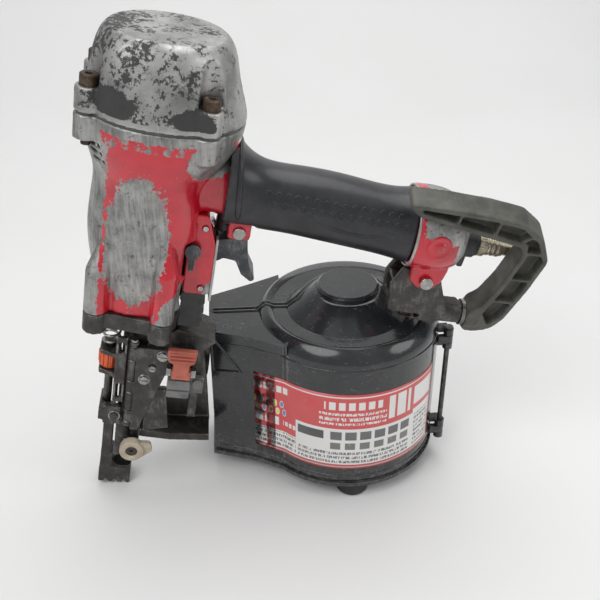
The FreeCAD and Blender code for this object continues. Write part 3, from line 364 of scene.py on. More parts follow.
@shared
def red_paint(where):
    """Chipped enamel over alloy; where names the part whose worn places it has."""
    p = Paint("Red enamel " + where)
    ragged = p.noise(0.22, 7.0, 0.66, 3.0) - 0.5
    near = p.y.fade(4.0, -8.0)
    if where == "housing":
        oval = p.patch(p.a, p.h, (-3.0, 186.0), (17.0, 40.0))
        side = ((-20.0 - p.a) / 9.0).least(0.24) * p.h.fade(240.0, 232.0)
        bare = oval.most(side)
        bare = bare * near - (1.0 - near) * 0.3
        bare = bare.most(p.patch(p.a, p.h, (31.0, 236.0), (12.0, 14.0)))
        bare = bare.most(p.patch(p.a, p.h, (-36.0, 238.0), (14.0, 17.0)))
        bare = bare.most((p.h - 244.2) / 5.0)
        bare = bare.most(p.patch(p.a, p.h, (22.0, 146.0), (11.0, 14.0)) * 0.7)
        chips = 0.52
    elif where == "end cap":
        bare = p.patch(p.a, p.h, (160.0, 214.5), (13.0, 14.0))
        bare = bare.most(p.patch(p.a, p.h, (173.0, 199.0), (5.0, 30.0)))
        chips = 0.50
    else:
        bare = p.patch(p.a, p.h, (40.0, 152.0), (5.0, 9.0))
        chips = 0.47
    worn = (p.measure("wear") * 0.8 + ragged * 0.9).fade(chips - 0.12, chips)
    chip = p.noise(0.16, 8.0, 0.7, 31.0).fade(0.66, 0.675)
    bare = (bare + ragged * 0.85).fade(0.0, 0.045).most(worn).most(chip)
    cloud = p.noise(0.07, 5.0, 0.6, 9.0)
    stain = p.noise(0.3, 8.0, 0.7, 17.0)
    drawn = p.noise(0.7, 4.0, 0.62, 52.0, (1.0, 1.0, 0.08)).fade(0.42, 0.66)
    alloy = p.mix(cloud.fade(0.32, 0.7), (0.20, 0.20, 0.195), (0.42, 0.415, 0.40))
    alloy = p.mix(drawn * 0.4, alloy, (0.60, 0.595, 0.58))
    alloy = p.mix(stain.fade(0.56, 0.66) * 0.7, alloy, (0.07, 0.065, 0.06))
    paint = p.mix(cloud.fade(0.35, 0.75), RED, RED_DEEP)
    scuff = p.noise(0.9, 3.0, 0.6, 70.0, (1.0, 1.0, 0.12)).fade(0.66, 0.72)
    paint = p.mix(scuff * 0.35, paint, (0.62, 0.12, 0.12))
    base = p.mix(bare, paint, alloy)
    # Hollows darkened almost to black: painted shade.
    base = p.mix(p.measure("hollow_shade_and_grime").fade(0.15, 0.9) * 0.85, base, (0.03, 0.022, 0.02))
    grain = p.noise(1.8, 4.0, 0.7, 13.0)
    rough = 0.2 + bare * 0.24 + grain * 0.1 + scuff * 0.1
    height = grain * (0.12 + bare * 0.3) - bare * 0.6
    return p.finish(base, rough, bare * 0.85, 0.75 - bare * 0.75, height, 0.12)


@shared
def worn_metal(name, dark, light, bright, rough, shine, scale, dirt):
    """Blackened or plated metal, with bright edges, and painted shade with some dirt in the corners."""
    p = Paint(name)
    cloud = p.noise(0.13 * scale, 5.0, 0.62, 2.0)
    grain = p.noise(1.6 * scale, 5.0, 0.68, 8.0)
    streak = p.noise(0.8 * scale, 3.0, 0.6, 19.0, (1.0, 1.0, 0.15))
    worn = (p.measure("wear") * 1.1 + (grain - 0.5) * 0.9).fade(0.3, 0.75)
    rub = (cloud + (streak - 0.5) * 0.6).fade(0.52, 0.66)
    base = p.mix(cloud.fade(0.2, 0.8), dark, light)
    base = p.mix((worn * 0.8).most(rub * 0.16), base, bright)
    dust = p.noise(0.35 * scale, 6.0, 0.7, 27.0).fade(0.5, 0.75)
    # Painted shade in the hollows plus real dust, both darkened towards dark brown.
    dust_and_hollow_shade = p.measure("hollow_shade_and_grime") * 1.2 + dust * dirt
    base = p.mix(dust_and_hollow_shade.least(1.0) * 0.75, base, GRIME_AND_SHADE)
    metal = shine - dust_and_hollow_shade.least(1.0) * 0.5 * shine
    height = grain * 0.5 - worn * 0.3
    return p.finish(base, rough + grain * 0.18 - worn * 0.1, metal, None, height, 0.04 / scale)


@shared
def moulded(name, first, second, pale, rough, coat):
    """Moulded plastic or rubber with scuffs, a fine grain, and painted shade with some dust in its hollows.
    """
    p = Paint(name)
    cloud = p.noise(0.09, 4.0, 0.6, 6.0)
    grain = p.noise(2.6, 3.0, 0.6, 14.0)
    scuff = p.noise(0.55, 6.0, 0.72, 33.0, (1.0, 1.0, 0.5)).fade(0.6, 0.72)
    worn = (p.measure("wear") + (p.noise(0.8, 5.0, 0.7, 44.0) - 0.5) * 1.2).fade(0.35, 0.9)
    base = p.mix(cloud.fade(0.3, 0.7), first, second)
    base = p.mix((scuff * 0.35).most(worn * 0.6), base, pale)
    # Hollows darkened towards dark brown: painted shade, with some grime.
    base = p.mix((p.measure("hollow_shade_and_grime") * 0.6).least(1.0), base, GRIME_AND_SHADE)
    height = grain * 0.3 + scuff * 0.15
    return p.finish(base, rough + cloud * 0.12 + scuff * 0.12, 0.0, coat, height, 0.07)


@shared
def smoke_gloss():
    p = Paint("Smoke magazine plastic")
    smear = p.noise(0.045, 5.0, 0.62, 2.0)
    haze = p.noise(0.3, 6.0, 0.66, 15.0)
    scratch = p.noise(0.9, 2.0, 0.5, 21.0, (0.2, 1.0, 0.9)).fade(0.67, 0.72)
    scrape = p.noise(0.6, 3.0, 0.6, 36.0, (1.0, 1.0, 0.1)).fade(0.64, 0.74)
    dust = (haze + (smear - 0.5) * 0.7).fade(0.58, 0.8)
    worn = (p.measure("wear") + (haze - 0.5) * 1.3).fade(0.45, 0.9)
    base = p.mix(smear.fade(0.3, 0.75), (0.016, 0.017, 0.019), (0.032, 0.034, 0.037))
    base = p.mix((dust * 0.10).most(scratch * 0.22).most(worn * 0.3), base, (0.34, 0.34, 0.33))
    low = p.z.fade(30.0, 12.0) * haze.fade(0.4, 0.65)
    base = p.mix(low * 0.22, base, (0.26, 0.24, 0.21))
    rough = 0.13 + dust * 0.16 + smear * 0.1 + worn * 0.2 + scrape * 0.08
    height = smear * 0.5 - scratch * 0.08 + haze * 0.04
    return p.finish(base, rough, 0.0, 0.35 - dust * 0.3, height, 0.12, IOR=1.5)


@shared
def printed_sheet():
    """A label of plain bars, dots and table blocks; it has no lettering."""
    p = Paint("Printed label")
    u = p.measure("label_u")
    v = p.measure("label_v")

    def bar(u0, u1, v0, v1):
        across = u.fade(u0 - 0.0012, u0 + 0.0012) * u.fade(u1 + 0.0012, u1 - 0.0012)
        return across * v.fade(v0 - 0.003, v0 + 0.003) * v.fade(v1 + 0.003, v1 - 0.003)

    def blocks(u0, u1, v0, v1, pitch, share):
        beat = (u / pitch).part()
        return bar(u0, u1, v0, v1) * beat.fade(share, share - 0.06)

    def lines(u0, u1, v0, v1, pitch):
        rows = (v / pitch).part().fade(0.34, 0.42)
        letters = p.noise(1.6, 1.0, 0.4, 50.0, (1.0, 1.0, 0.2)).fade(0.44, 0.5)
        return bar(u0, u1, v0, v1) * rows * letters

    white = (0.80, 0.79, 0.77)
    ink = (0.04, 0.04, 0.045)
    print_red = (0.66, 0.035, 0.045)
    base = p.mix(u.fade(0.0, 1.0), print_red, (0.60, 0.05, 0.05))
    base = p.mix(bar(0.0, 1.0, 0.955, 0.972).most(bar(0.0, 1.0, 0.02, 0.036)) * 0.9, base, white)
    base = p.mix(bar(0.025, 0.075, 0.80, 0.915), base, white)
    base = p.mix(bar(0.031, 0.069, 0.825, 0.89), base, print_red)
    base = p.mix(blocks(0.09, 0.30, 0.815, 0.90, 0.03, 0.8), base, white)
    for row, shift in ((0.665, 0.0), (0.56, 0.012)):
        beat = ((u - shift) / 0.031).part() - 0.5
        across = beat * 0.031 * 2.2
        up = v - row
        ring = 1.0 - (across * across * 4.8 + up * up).root() / 0.047
        inside = bar(0.03 + shift, 0.28 + shift, row - 0.06, row + 0.06)
        count = ((u - shift) / 0.031).whole()
        hue = (count * 0.37).part()
        tint = p.mix(hue.fade(0.3, 0.5), (0.05, 0.32, 0.10), (0.78, 0.70, 0.10))
        tint = p.mix(hue.fade(0.62, 0.8), tint, (0.10, 0.22, 0.45))
        base = p.mix(ring.fade(0.0, 0.05) * inside, base, white)
        base = p.mix(ring.fade(0.2, 0.26) * inside, base, tint)
    base = p.mix(blocks(0.03, 0.25, 0.37, 0.48, 0.046, 0.82), base, white)
    base = p.mix(blocks(0.27, 0.40, 0.39, 0.45, 0.02, 0.7), base, white)
    panel = bar(0.02, 0.40, 0.06, 0.30)
    base = p.mix(panel, base, white)
    base = p.mix(lines(0.03, 0.39, 0.075, 0.285, 0.062) * 0.9, base, ink)
    table = bar(0.335, 0.985, 0.06, 0.55).most(bar(0.86, 0.985, 0.06, 0.90))
    base = p.mix(table, base, white)
    base = p.mix(bar(0.345, 0.46, 0.40, 0.51), base, ink)
    base = p.mix(blocks(0.475, 0.84, 0.40, 0.51, 0.061, 0.8), base, (0.10, 0.10, 0.11))
    base = p.mix(blocks(0.475, 0.84, 0.27, 0.36, 0.061, 0.72) * 0.85, base, ink)
    base = p.mix(lines(0.345, 0.84, 0.08, 0.25, 0.058) * 0.85, base, ink)
    base = p.mix(lines(0.87, 0.975, 0.09, 0.52, 0.06) * 0.85, base, ink)
    base = p.mix(bar(0.86, 0.985, 0.60, 0.66), base, print_red)
    base = p.mix(blocks(0.46, 0.70, 0.80, 0.90, 0.04, 0.7), base, white)
    base = p.mix(lines(0.44, 0.72, 0.60, 0.76, 0.07), base, white)
    base = p.mix(blocks(0.73, 0.84, 0.62, 0.92, 0.055, 0.82), base, white)
    scrape = p.noise(0.35, 7.0, 0.72, 12.0, (1.0, 1.0, 0.4)).fade(0.64, 0.68)
    fade = p.noise(0.06, 4.0, 0.6, 8.0)
    base = p.mix(scrape * 0.7, base, (0.55, 0.50, 0.48))
    base = p.mix(fade * 0.16, base, (0.60, 0.57, 0.54))
    return p.finish(base, 0.26 + scrape * 0.3 + fade * 0.12, 0.0, 0.3, fade * 0.3 - scrape * 0.4, 0.05)


# name: (title, dark, light, bright, roughness, shine, scale, dirt)
METALS = {
    "dark_steel": (
        "Worn blackened steel", (0.055, 0.052, 0.049), (0.11, 0.105, 0.1), (0.4, 0.39, 0.37),
        0.36, 0.85, 1.0, 0.4,
    ),
    "bright_steel": (
        "Handled steel", (0.22, 0.21, 0.2), (0.46, 0.45, 0.43), (0.7, 0.69, 0.66),
        0.26, 1.0, 1.6, 0.45,
    ),
    "brown_bolt": (
        "Browned bolt", (0.05, 0.035, 0.026), (0.13, 0.085, 0.06), (0.36, 0.31, 0.26),
        0.4, 0.8, 1.8, 0.6,
    ),
    "gunmetal": (
        "Rubbed gunmetal", (0.05, 0.052, 0.056), (0.11, 0.113, 0.12), (0.42, 0.42, 0.42),
        0.34, 0.8, 1.2, 0.3,
    ),
    "amber_spring": (
        "Amber spring", (0.22, 0.11, 0.03), (0.42, 0.24, 0.07), (0.6, 0.48, 0.24),
        0.36, 0.7, 2.0, 0.45,
    ),
    "pale_steel": (
        "Pale plated steel", (0.34, 0.34, 0.33), (0.52, 0.52, 0.5), (0.72, 0.71, 0.69),
        0.36, 0.75, 1.2, 0.35,
    ),
    "brassy": (
        "Rubbed brass plate", (0.36, 0.31, 0.22), (0.58, 0.52, 0.4), (0.76, 0.73, 0.66),
        0.22, 1.0, 1.8, 0.25,
    ),
}
# name: (title, first, second, pale, roughness, coat)
MOULDINGS = {
    "gasket_sheet": (
        "Grimy gasket", (0.05, 0.05, 0.05), (0.13, 0.13, 0.125), (0.3, 0.29, 0.28),
        0.5, 0.0,
    ),
    "grip_rubber": (
        "Black grip rubber", (0.012, 0.012, 0.014), (0.026, 0.027, 0.031), (0.09, 0.09, 0.1),
        0.3, 0.1,
    ),
    "black_rubber": (
        "Black rubber", (0.01, 0.01, 0.01), (0.03, 0.03, 0.03), (0.16, 0.15, 0.14),
        0.55, 0.0,
    ),
    "hook_nylon": (
        "Scuffed nylon", (0.045, 0.044, 0.037), (0.1, 0.098, 0.082), (0.27, 0.26, 0.22),
        0.44, 0.0,
    ),
    "black_nylon": (
        "Black nylon", (0.016, 0.016, 0.017), (0.04, 0.04, 0.042), (0.17, 0.165, 0.16),
        0.4, 0.05,
    ),
    "orange_plastic": (
        "Orange plastic", (0.78, 0.13, 0.035), (0.6, 0.085, 0.026), (0.76, 0.33, 0.2),
        0.4, 0.1,
    ),
    "salmon_plastic": (
        "Salmon plastic", (0.56, 0.15, 0.1), (0.42, 0.1, 0.065), (0.64, 0.33, 0.26),
        0.4, 0.1,
    ),
    "cream_plastic": (
        "Cream plastic", (0.62, 0.54, 0.42), (0.4, 0.33, 0.25), (0.72, 0.66, 0.56),
        0.42, 0.0,
    ),
    "dark_magnet": (
        "Dark magnet", (0.014, 0.013, 0.013), (0.05, 0.042, 0.036), (0.2, 0.17, 0.14),
        0.5, 0.0,
    ),
    "grey_block": ("Grey block", (0.12, 0.12, 0.125), (0.21, 0.205, 0.2), (0.42, 0.41, 0.39), 0.42, 0.05),
}


def metal_named(name):
    return worn_metal(*METALS[name])


def moulding_named(name):
    return moulded(*MOULDINGS[name])


# ---- mesh helpers -----------------------------------------------------------------
def settings():
    return bpy.context.scene.nailer_form


def new_object(name, mesh):
    made = bpy.data.objects.new(name, mesh)
    bpy.context.scene.collection.objects.link(made)
    return made


def from_bmesh(name, bm):
    mesh = bpy.data.meshes.new(name)
    bm.to_mesh(mesh)
    bm.free()
    return new_object(name, mesh)


def applied(piece):
    """Turns the piece's modifiers into its mesh."""
    bpy.context.view_layer.update()
    ready = piece.evaluated_get(bpy.context.evaluated_depsgraph_get())
    mesh = bpy.data.meshes.new_from_object(ready)
    piece.modifiers.clear()
    piece.data = mesh
    return piece


def smooth(piece):
    flags = np.ones(len(piece.data.polygons), bool)
    piece.data.polygons.foreach_set("use_smooth", flags)
    return piece


def cad_copy(node):
    """A joined-up copy of a CAD node's mesh, with its flat faces whole."""
    bm = bmesh.new()
    bm.from_mesh(frame["nodes"][node].data)
    bmesh.ops.remove_doubles(bm, verts=bm.verts, dist=2e-6)
    bmesh.ops.dissolve_degenerate(bm, edges=bm.edges, dist=1e-6)
    bmesh.ops.recalc_face_normals(bm, faces=bm.faces)
    for layer in list(bm.loops.layers.uv.values()):
        bm.loops.layers.uv.remove(layer)
    return from_bmesh(node + "_look", bm)


def set_measure(mesh, name, values):
    layer = mesh.attributes.get(name) or mesh.attributes.new(name, "FLOAT", "POINT")
    layer.data.foreach_set("value", np.clip(values, 0.0, 1.0).astype(np.float32))


def even_wear(piece, wear):
    """Gives a small piece the same wear all over and no hollows."""
    count = len(piece.data.vertices)
    set_measure(piece.data, "wear", np.full(count, wear))
    set_measure(piece.data, "hollow_shade_and_grime", np.zeros(count))
    return piece


def measure_casting(piece, gain=5.0):
    """Stores how far each point of an even mesh stands out of, or into, its surroundings."""
    mesh = piece.data
    count = len(mesh.vertices)
    co = np.empty(count * 3)
    mesh.vertices.foreach_get("co", co)
    co = co.reshape(-1, 3)
    pairs = np.empty(len(mesh.edges) * 2, np.int64)
    mesh.edges.foreach_get("vertices", pairs)
    pairs = pairs.reshape(-1, 2)
    normals = np.array([n.vector for n in mesh.vertex_normals])
    ends = np.concatenate([pairs[:, 0], pairs[:, 1]])
    others = np.concatenate([pairs[:, 1], pairs[:, 0]])
    near = np.maximum(np.bincount(ends, minlength=count), 1)

    def average(values):
        return np.bincount(ends, weights=values[others], minlength=count) / near

    middle = np.stack([average(co[:, i]) for i in range(3)], axis=1)
    length = np.linalg.norm(co[pairs[:, 0]] - co[pairs[:, 1]], axis=1).mean()
    stand = ((co - middle) * normals).sum(axis=1) / length
    for _ in range(3):
        stand = stand * 0.4 + average(stand) * 0.6
    set_measure(mesh, "wear", stand * gain - 0.25)
    # The second measure darkens recessed points in the materials: painted shade, with some grime.
    set_measure(mesh, "hollow_shade_and_grime", -stand * gain - 0.25)


def measure_edges(piece):
    """Stores where a machined part's edges turn outwards or inwards."""
    bm = bmesh.new()
    bm.from_mesh(piece.data)
    bm.verts.ensure_lookup_table()
    wear = np.zeros(len(bm.verts))
    hollow_shade_and_grime = np.zeros(len(bm.verts))
    for edge in bm.edges:
        if len(edge.link_faces) != 2:
            continue
        turn = math.degrees(edge.calc_face_angle_signed(0.0))
        if abs(turn) < 26.0:
            continue
        for vert in edge.verts:
            if turn > 0:
                wear[vert.index] = max(wear[vert.index], (turn - 22.0) / 20.0)
            else:
                hollow_shade_and_grime[vert.index] = max(hollow_shade_and_grime[vert.index], (-turn - 22.0) / 30.0)
    bm.free()
    set_measure(piece.data, "wear", wear)
    # Inward edges get the measure that darkens hollows: painted shade, with some grime.
    set_measure(piece.data, "hollow_shade_and_grime", hollow_shade_and_grime * 0.7)


def cast(piece, voxel=None, rounds=None, keep=None, gain=5.0):
    """Rounds a piece as a casting or moulding: even mesh, smoothed, then thinned."""
    form = settings()
    remesh = piece.modifiers.new("even", "REMESH")
    remesh.mode = "VOXEL"
    remesh.voxel_size = voxel or form.cast_voxel
    soften = piece.modifiers.new("soft", "SMOOTH")
    soften.factor = 0.5
    soften.iterations = form.cast_rounds if rounds is None else rounds
    applied(piece)
    measure_casting(piece, gain)
    thin = piece.modifiers.new("thin", "DECIMATE")
    thin.ratio = keep or form.keep_share
    return smooth(applied(piece))


def machined(piece, width=None):
    """Breaks the edges of a piece and shades its flats flat."""
    bm = bmesh.new()
    bm.from_mesh(piece.data)
    bmesh.ops.dissolve_limit(
        bm, angle_limit=math.radians(0.6), verts=bm.verts, edges=bm.edges, delimit={"NORMAL"}
    )
    bm.to_mesh(piece.data)
    bm.free()
    broken = piece.modifiers.new("edges", "BEVEL")
    broken.width = width or settings().edge
    broken.segments = 2
    broken.limit_method = "ANGLE"
    broken.angle_limit = math.radians(32.0)
    smooth(applied(piece))
    measure_edges(piece)
    even = piece.modifiers.new("normals", "WEIGHTED_NORMAL")
    even.weight = 60
    even.keep_sharp = True
    return applied(piece)


def dress(piece, body, slot, material, *nodes):
    """Gives a finished piece its material, its body and the CAD nodes it stands for."""
    piece.data.materials.clear()
    piece.data.materials.append(material)
    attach(piece, body)
    if nodes:
        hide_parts(*nodes)
    return piece


def finish_node(node, material, form="machined", **how):
    """Replaces a CAD node with a finished copy of itself."""
    piece = cad_copy(node)
    if form == "machined":
        machined(piece, **how)
    else:
        cast(piece, **how)
    return dress(piece, BODY_OF[node], SLOTS[node], material, node)


def hull(bm, points):
    """Adds the closed skin round a set of points."""
    verts = [bm.verts.new(p) for p in points]
    made = bmesh.ops.convex_hull(bm, input=verts)
    spare = [v for v in made["geom_interior"] if isinstance(v, bmesh.types.BMVert)]
    bmesh.ops.delete(bm, geom=spare, context="VERTS")


def add_hulls(piece, groups):
    bm = bmesh.new()
    bm.from_mesh(piece.data)
    for points in groups:
        hull(bm, points)
    bm.to_mesh(piece.data)
    bm.free()


def circle_points(frame_matrix, a, y, h, radius, count=20):
    steps = [2 * math.pi * i / count for i in range(count)]
    return [spot(frame_matrix, a + radius * math.cos(t), y + radius * math.sin(t), h) for t in steps]


def surface_of(piece):
    mesh = piece.data
    return BVHTree.FromPolygons(
        [v.co for v in mesh.vertices], [tuple(f.vertices) for f in mesh.polygons]
    )


def sweep(name, points, normals, wide, high, closed=False):
    """A rounded strip along points: wide across the path and high along the normals."""
    sides = 10
    bm = bmesh.new()
    rings = []
    count = len(points)
    for i, point in enumerate(points):
        before = points[i - 1] if closed or i else point
        after = points[(i + 1) % count] if closed or i < count - 1 else point
        forward = (after - before).normalized()
        up = (normals[i] - forward * normals[i].dot(forward)).normalized()
        side = forward.cross(up)
        taper = 1.0 if closed or 0 < i < count - 1 else 0.3
        ring = []
        for k in range(sides):
            t = 2 * math.pi * k / sides
            offset = side * (math.cos(t) * wide) + up * (math.sin(t) * high)
            ring.append(bm.verts.new(point + offset * taper))
        rings.append(ring)
    last = count if closed else count - 1
    for i in range(last):
        first, second = rings[i], rings[(i + 1) % count]
        for k in range(sides):
            bm.faces.new((first[k], first[(k + 1) % sides], second[(k + 1) % sides], second[k]))
    if not closed:
        bm.faces.new(rings[0])
        bm.faces.new(rings[-1])
    bmesh.ops.recalc_face_normals(bm, faces=bm.faces)
    return even_wear(smooth(from_bmesh(name, bm)), 0.15)


def draped(surface, points, direction, sink=0.0):
    """The points, and the surface's normals there, where rays from the points meet it."""
    found, normals = [], []
    for point in points:
        hit, normal, _, _ = surface.ray_cast(point, direction)
        if hit is None:
            continue
        found.append(hit - normal * sink)
        normals.append(normal)
    if len(found) < 2:
        raise ValueError("the strip doesn't meet the surface")
    return found, normals


def along_line(corners, step):
    """Points every step metres or less along straight runs between corners."""
    points = []
    for start, end in zip(corners, corners[1:]):
        count = max(1, round((end - start).length / step))
        points += [start.lerp(end, i / count) for i in range(count)]
    return points + [corners[-1]]


# ---- repeated details ------------------------------------------------------------
def stamp_block(size, edge):
    """A bar with broken edges, its foot at the origin."""
    bm = bmesh.new()
    bmesh.ops.create_cube(bm, size=1.0)
    for vert in bm.verts:
        vert.co = Vector((vert.co.x * size[0], vert.co.y * size[1], vert.co.z * size[2]))
    bmesh.ops.bevel(bm, geom=bm.edges[:], offset=edge, segments=2, affect="EDGES", profile=0.5)
    return smooth(from_bmesh("stamp", bm))


def stamp_cup(radius, rim, depth):
    """A small raised ring with a dished middle."""
    profile = [(0.0, -depth), (radius * 0.45, -depth * 0.6), (radius * 0.8, rim), (radius, 0.0),
               (radius * 1.15, -depth * 1.6)]
    bm = bmesh.new()
    rings = []
    for r, z in profile[1:]:
        steps = [2 * math.pi * i / 14 for i in range(14)]
        rings.append([bm.verts.new((r * math.cos(t), r * math.sin(t), z)) for t in steps])
    centre = bm.verts.new((0.0, 0.0, profile[0][1]))
    foot = bm.verts.new((0.0, 0.0, -depth * 1.8))
    for k in range(14):
        bm.faces.new((centre, rings[0][k], rings[0][(k + 1) % 14]))
        bm.faces.new((foot, rings[-1][(k + 1) % 14], rings[-1][k]))
        for low, high in zip(rings, rings[1:]):
            bm.faces.new((low[k], high[k], high[(k + 1) % 14], low[(k + 1) % 14]))
    bmesh.ops.recalc_face_normals(bm, faces=bm.faces)
    return smooth(from_bmesh("stamp", bm))


def stamp_washer(outer, inner, thick):
    """A washer with rounded rims, its middle at the origin and its axis along Z."""
    half = thick / 2
    profile = [(inner, -half), (outer - half * 0.6, -half), (outer, -half * 0.4), (outer, half * 0.4),
               (outer - half * 0.6, half), (inner, half)]
    bm = bmesh.new()
    rings = []
    for i in range(28):
        t = 2 * math.pi * i / 28
        rings.append([bm.verts.new((r * math.cos(t), r * math.sin(t), z)) for r, z in profile])
    for i, ring in enumerate(rings):
        after = rings[(i + 1) % 28]
        for k in range(len(profile)):
            n = (k + 1) % len(profile)
            bm.faces.new((ring[k], after[k], after[n], ring[n]))
    bmesh.ops.recalc_face_normals(bm, faces=bm.faces)
    return from_bmesh("stamp", bm)


class Nodes:
    """Builds a Geometry Nodes tree."""

    def __init__(self, name, inputs):
        self.tree = bpy.data.node_groups.new(name, "GeometryNodeTree")
        self.tree.interface.new_socket("Geometry", in_out="OUTPUT", socket_type="NodeSocketGeometry")
        self.ids = {}
        for label, kind in inputs.items():
            made = self.tree.interface.new_socket(label, in_out="INPUT", socket_type=kind)
            self.ids[label] = made.identifier
        self.start = self.tree.nodes.new("NodeGroupInput")

    def given(self, label):
        return self.start.outputs[label]

    def node(self, kind, inputs=None, **values):
        made = self.tree.nodes.new(kind)
        for key, value in values.items():
            setattr(made, key, value)
        for key, value in (inputs or {}).items():
            if isinstance(value, bpy.types.NodeSocket):
                self.tree.links.new(value, made.inputs[key])
            else:
                made.inputs[key].default_value = value
        return made.outputs

    def close(self, instances):
        real = self.node("GeometryNodeRealizeInstances", {"Geometry": instances})
        painted = self.node(
            "GeometryNodeSetMaterial", {"Geometry": real["Geometry"], "Material": self.given("Material")}
        )
        end = self.tree.nodes.new("NodeGroupOutput")
        self.tree.links.new(painted["Geometry"], end.inputs["Geometry"])
        return self


def row_tree():
    """Stamps at equal steps along a line."""
    n = Nodes("Row of stamps", {
        "Stamp": "NodeSocketObject", "Count": "NodeSocketInt", "Start": "NodeSocketVector",
        "Step": "NodeSocketVector", "Turn": "NodeSocketVector", "Material": "NodeSocketMaterial",
    })
    line = n.node(
        "GeometryNodeMeshLine",
        {"Count": n.given("Count"), "Start Location": n.given("Start"), "Offset": n.given("Step")},
    )
    stamp = n.node("GeometryNodeObjectInfo", {"Object": n.given("Stamp")})
    turn = n.node("FunctionNodeEulerToRotation", {"Euler": n.given("Turn")})
    placed = n.node(
        "GeometryNodeInstanceOnPoints",
        {"Points": line["Mesh"], "Instance": stamp["Geometry"], "Rotation": turn["Rotation"]},
    )
    return n.close(placed["Instances"])


def wheel_tree():
    """Stamps round a circle about Z, each turned to face outwards."""
    n = Nodes("Wheel of stamps", {
        "Stamp": "NodeSocketObject", "Count": "NodeSocketInt", "Radius": "NodeSocketFloat",
        "Material": "NodeSocketMaterial",
    })
    ring = n.node(
        "GeometryNodeMeshCircle", {"Vertices": n.given("Count"), "Radius": n.given("Radius")}
    )
    stamp = n.node("GeometryNodeObjectInfo", {"Object": n.given("Stamp")})
    index = n.node("GeometryNodeInputIndex")
    share = n.node("ShaderNodeMath", {0: index[0], 1: n.given("Count")}, operation="DIVIDE")
    angle = n.node("ShaderNodeMath", {0: share[0], 1: 2 * math.pi}, operation="MULTIPLY")
    turn = n.node("ShaderNodeCombineXYZ", {"Z": angle[0]})
    facing = n.node("FunctionNodeEulerToRotation", {"Euler": turn[0]})
    placed = n.node(
        "GeometryNodeInstanceOnPoints",
        {"Points": ring["Mesh"], "Instance": stamp["Geometry"], "Rotation": facing["Rotation"]},
    )
    return n.close(placed["Instances"])


def scatter_tree():
    """Stamps at equal steps along a line, dropped on a surface and turned to its normal."""
    n = Nodes("Stamps on a surface", {
        "Surface": "NodeSocketObject", "Stamp": "NodeSocketObject", "Count": "NodeSocketInt",
        "Start": "NodeSocketVector", "Step": "NodeSocketVector", "Direction": "NodeSocketVector",
        "Material": "NodeSocketMaterial",
    })
    line = n.node(
        "GeometryNodeMeshLine",
        {"Count": n.given("Count"), "Start Location": n.given("Start"), "Offset": n.given("Step")},
    )
    target = n.node("GeometryNodeObjectInfo", {"Object": n.given("Surface")})
    hit = n.node(
        "GeometryNodeRaycast",
        {"Target Geometry": target["Geometry"], "Ray Direction": n.given("Direction"), "Ray Length": 0.1},
    )
    noted = n.node(
        "GeometryNodeStoreNamedAttribute",
        {"Geometry": line["Mesh"], "Name": "facing", "Value": hit["Hit Normal"]},
        data_type="FLOAT_VECTOR",
        domain="POINT",
    )
    moved = n.node(
        "GeometryNodeSetPosition", {"Geometry": noted["Geometry"], "Position": hit["Hit Position"]}
    )
    stamp = n.node("GeometryNodeObjectInfo", {"Object": n.given("Stamp")})
    faced = n.node("GeometryNodeInputNamedAttribute", {"Name": "facing"}, data_type="FLOAT_VECTOR")
    facing = n.node("FunctionNodeAlignRotationToVector", {"Vector": faced["Attribute"]}, axis="Z")
    placed = n.node(
        "GeometryNodeInstanceOnPoints",
        {"Points": moved["Geometry"], "Instance": stamp["Geometry"], "Rotation": facing["Rotation"]},
    )
    return n.close(placed["Instances"])


def grown(name, nodes, matrix=None, **values):
    """A piece made by a tree from named values, turned into a mesh and put in place."""
    piece = new_object(name, bpy.data.meshes.new(name))
    modifier = piece.modifiers.new("repeat", "NODES")
    modifier.node_group = nodes.tree
    for label, value in values.items():
        modifier[nodes.ids[label]] = value
    applied(piece)
    if not piece.data.vertices:
        raise ValueError(name + " came out empty")
    if matrix is not None:
        piece.data.transform(matrix)
    bpy.data.objects.remove(values["Stamp"])
    return even_wear(piece, 0.25)


class Trees:
    """The repeat trees, each built once."""

    made = {}

    @classmethod
    def get(cls, build):
        if build not in cls.made:
            cls.made[build] = build()
        return cls.made[build]


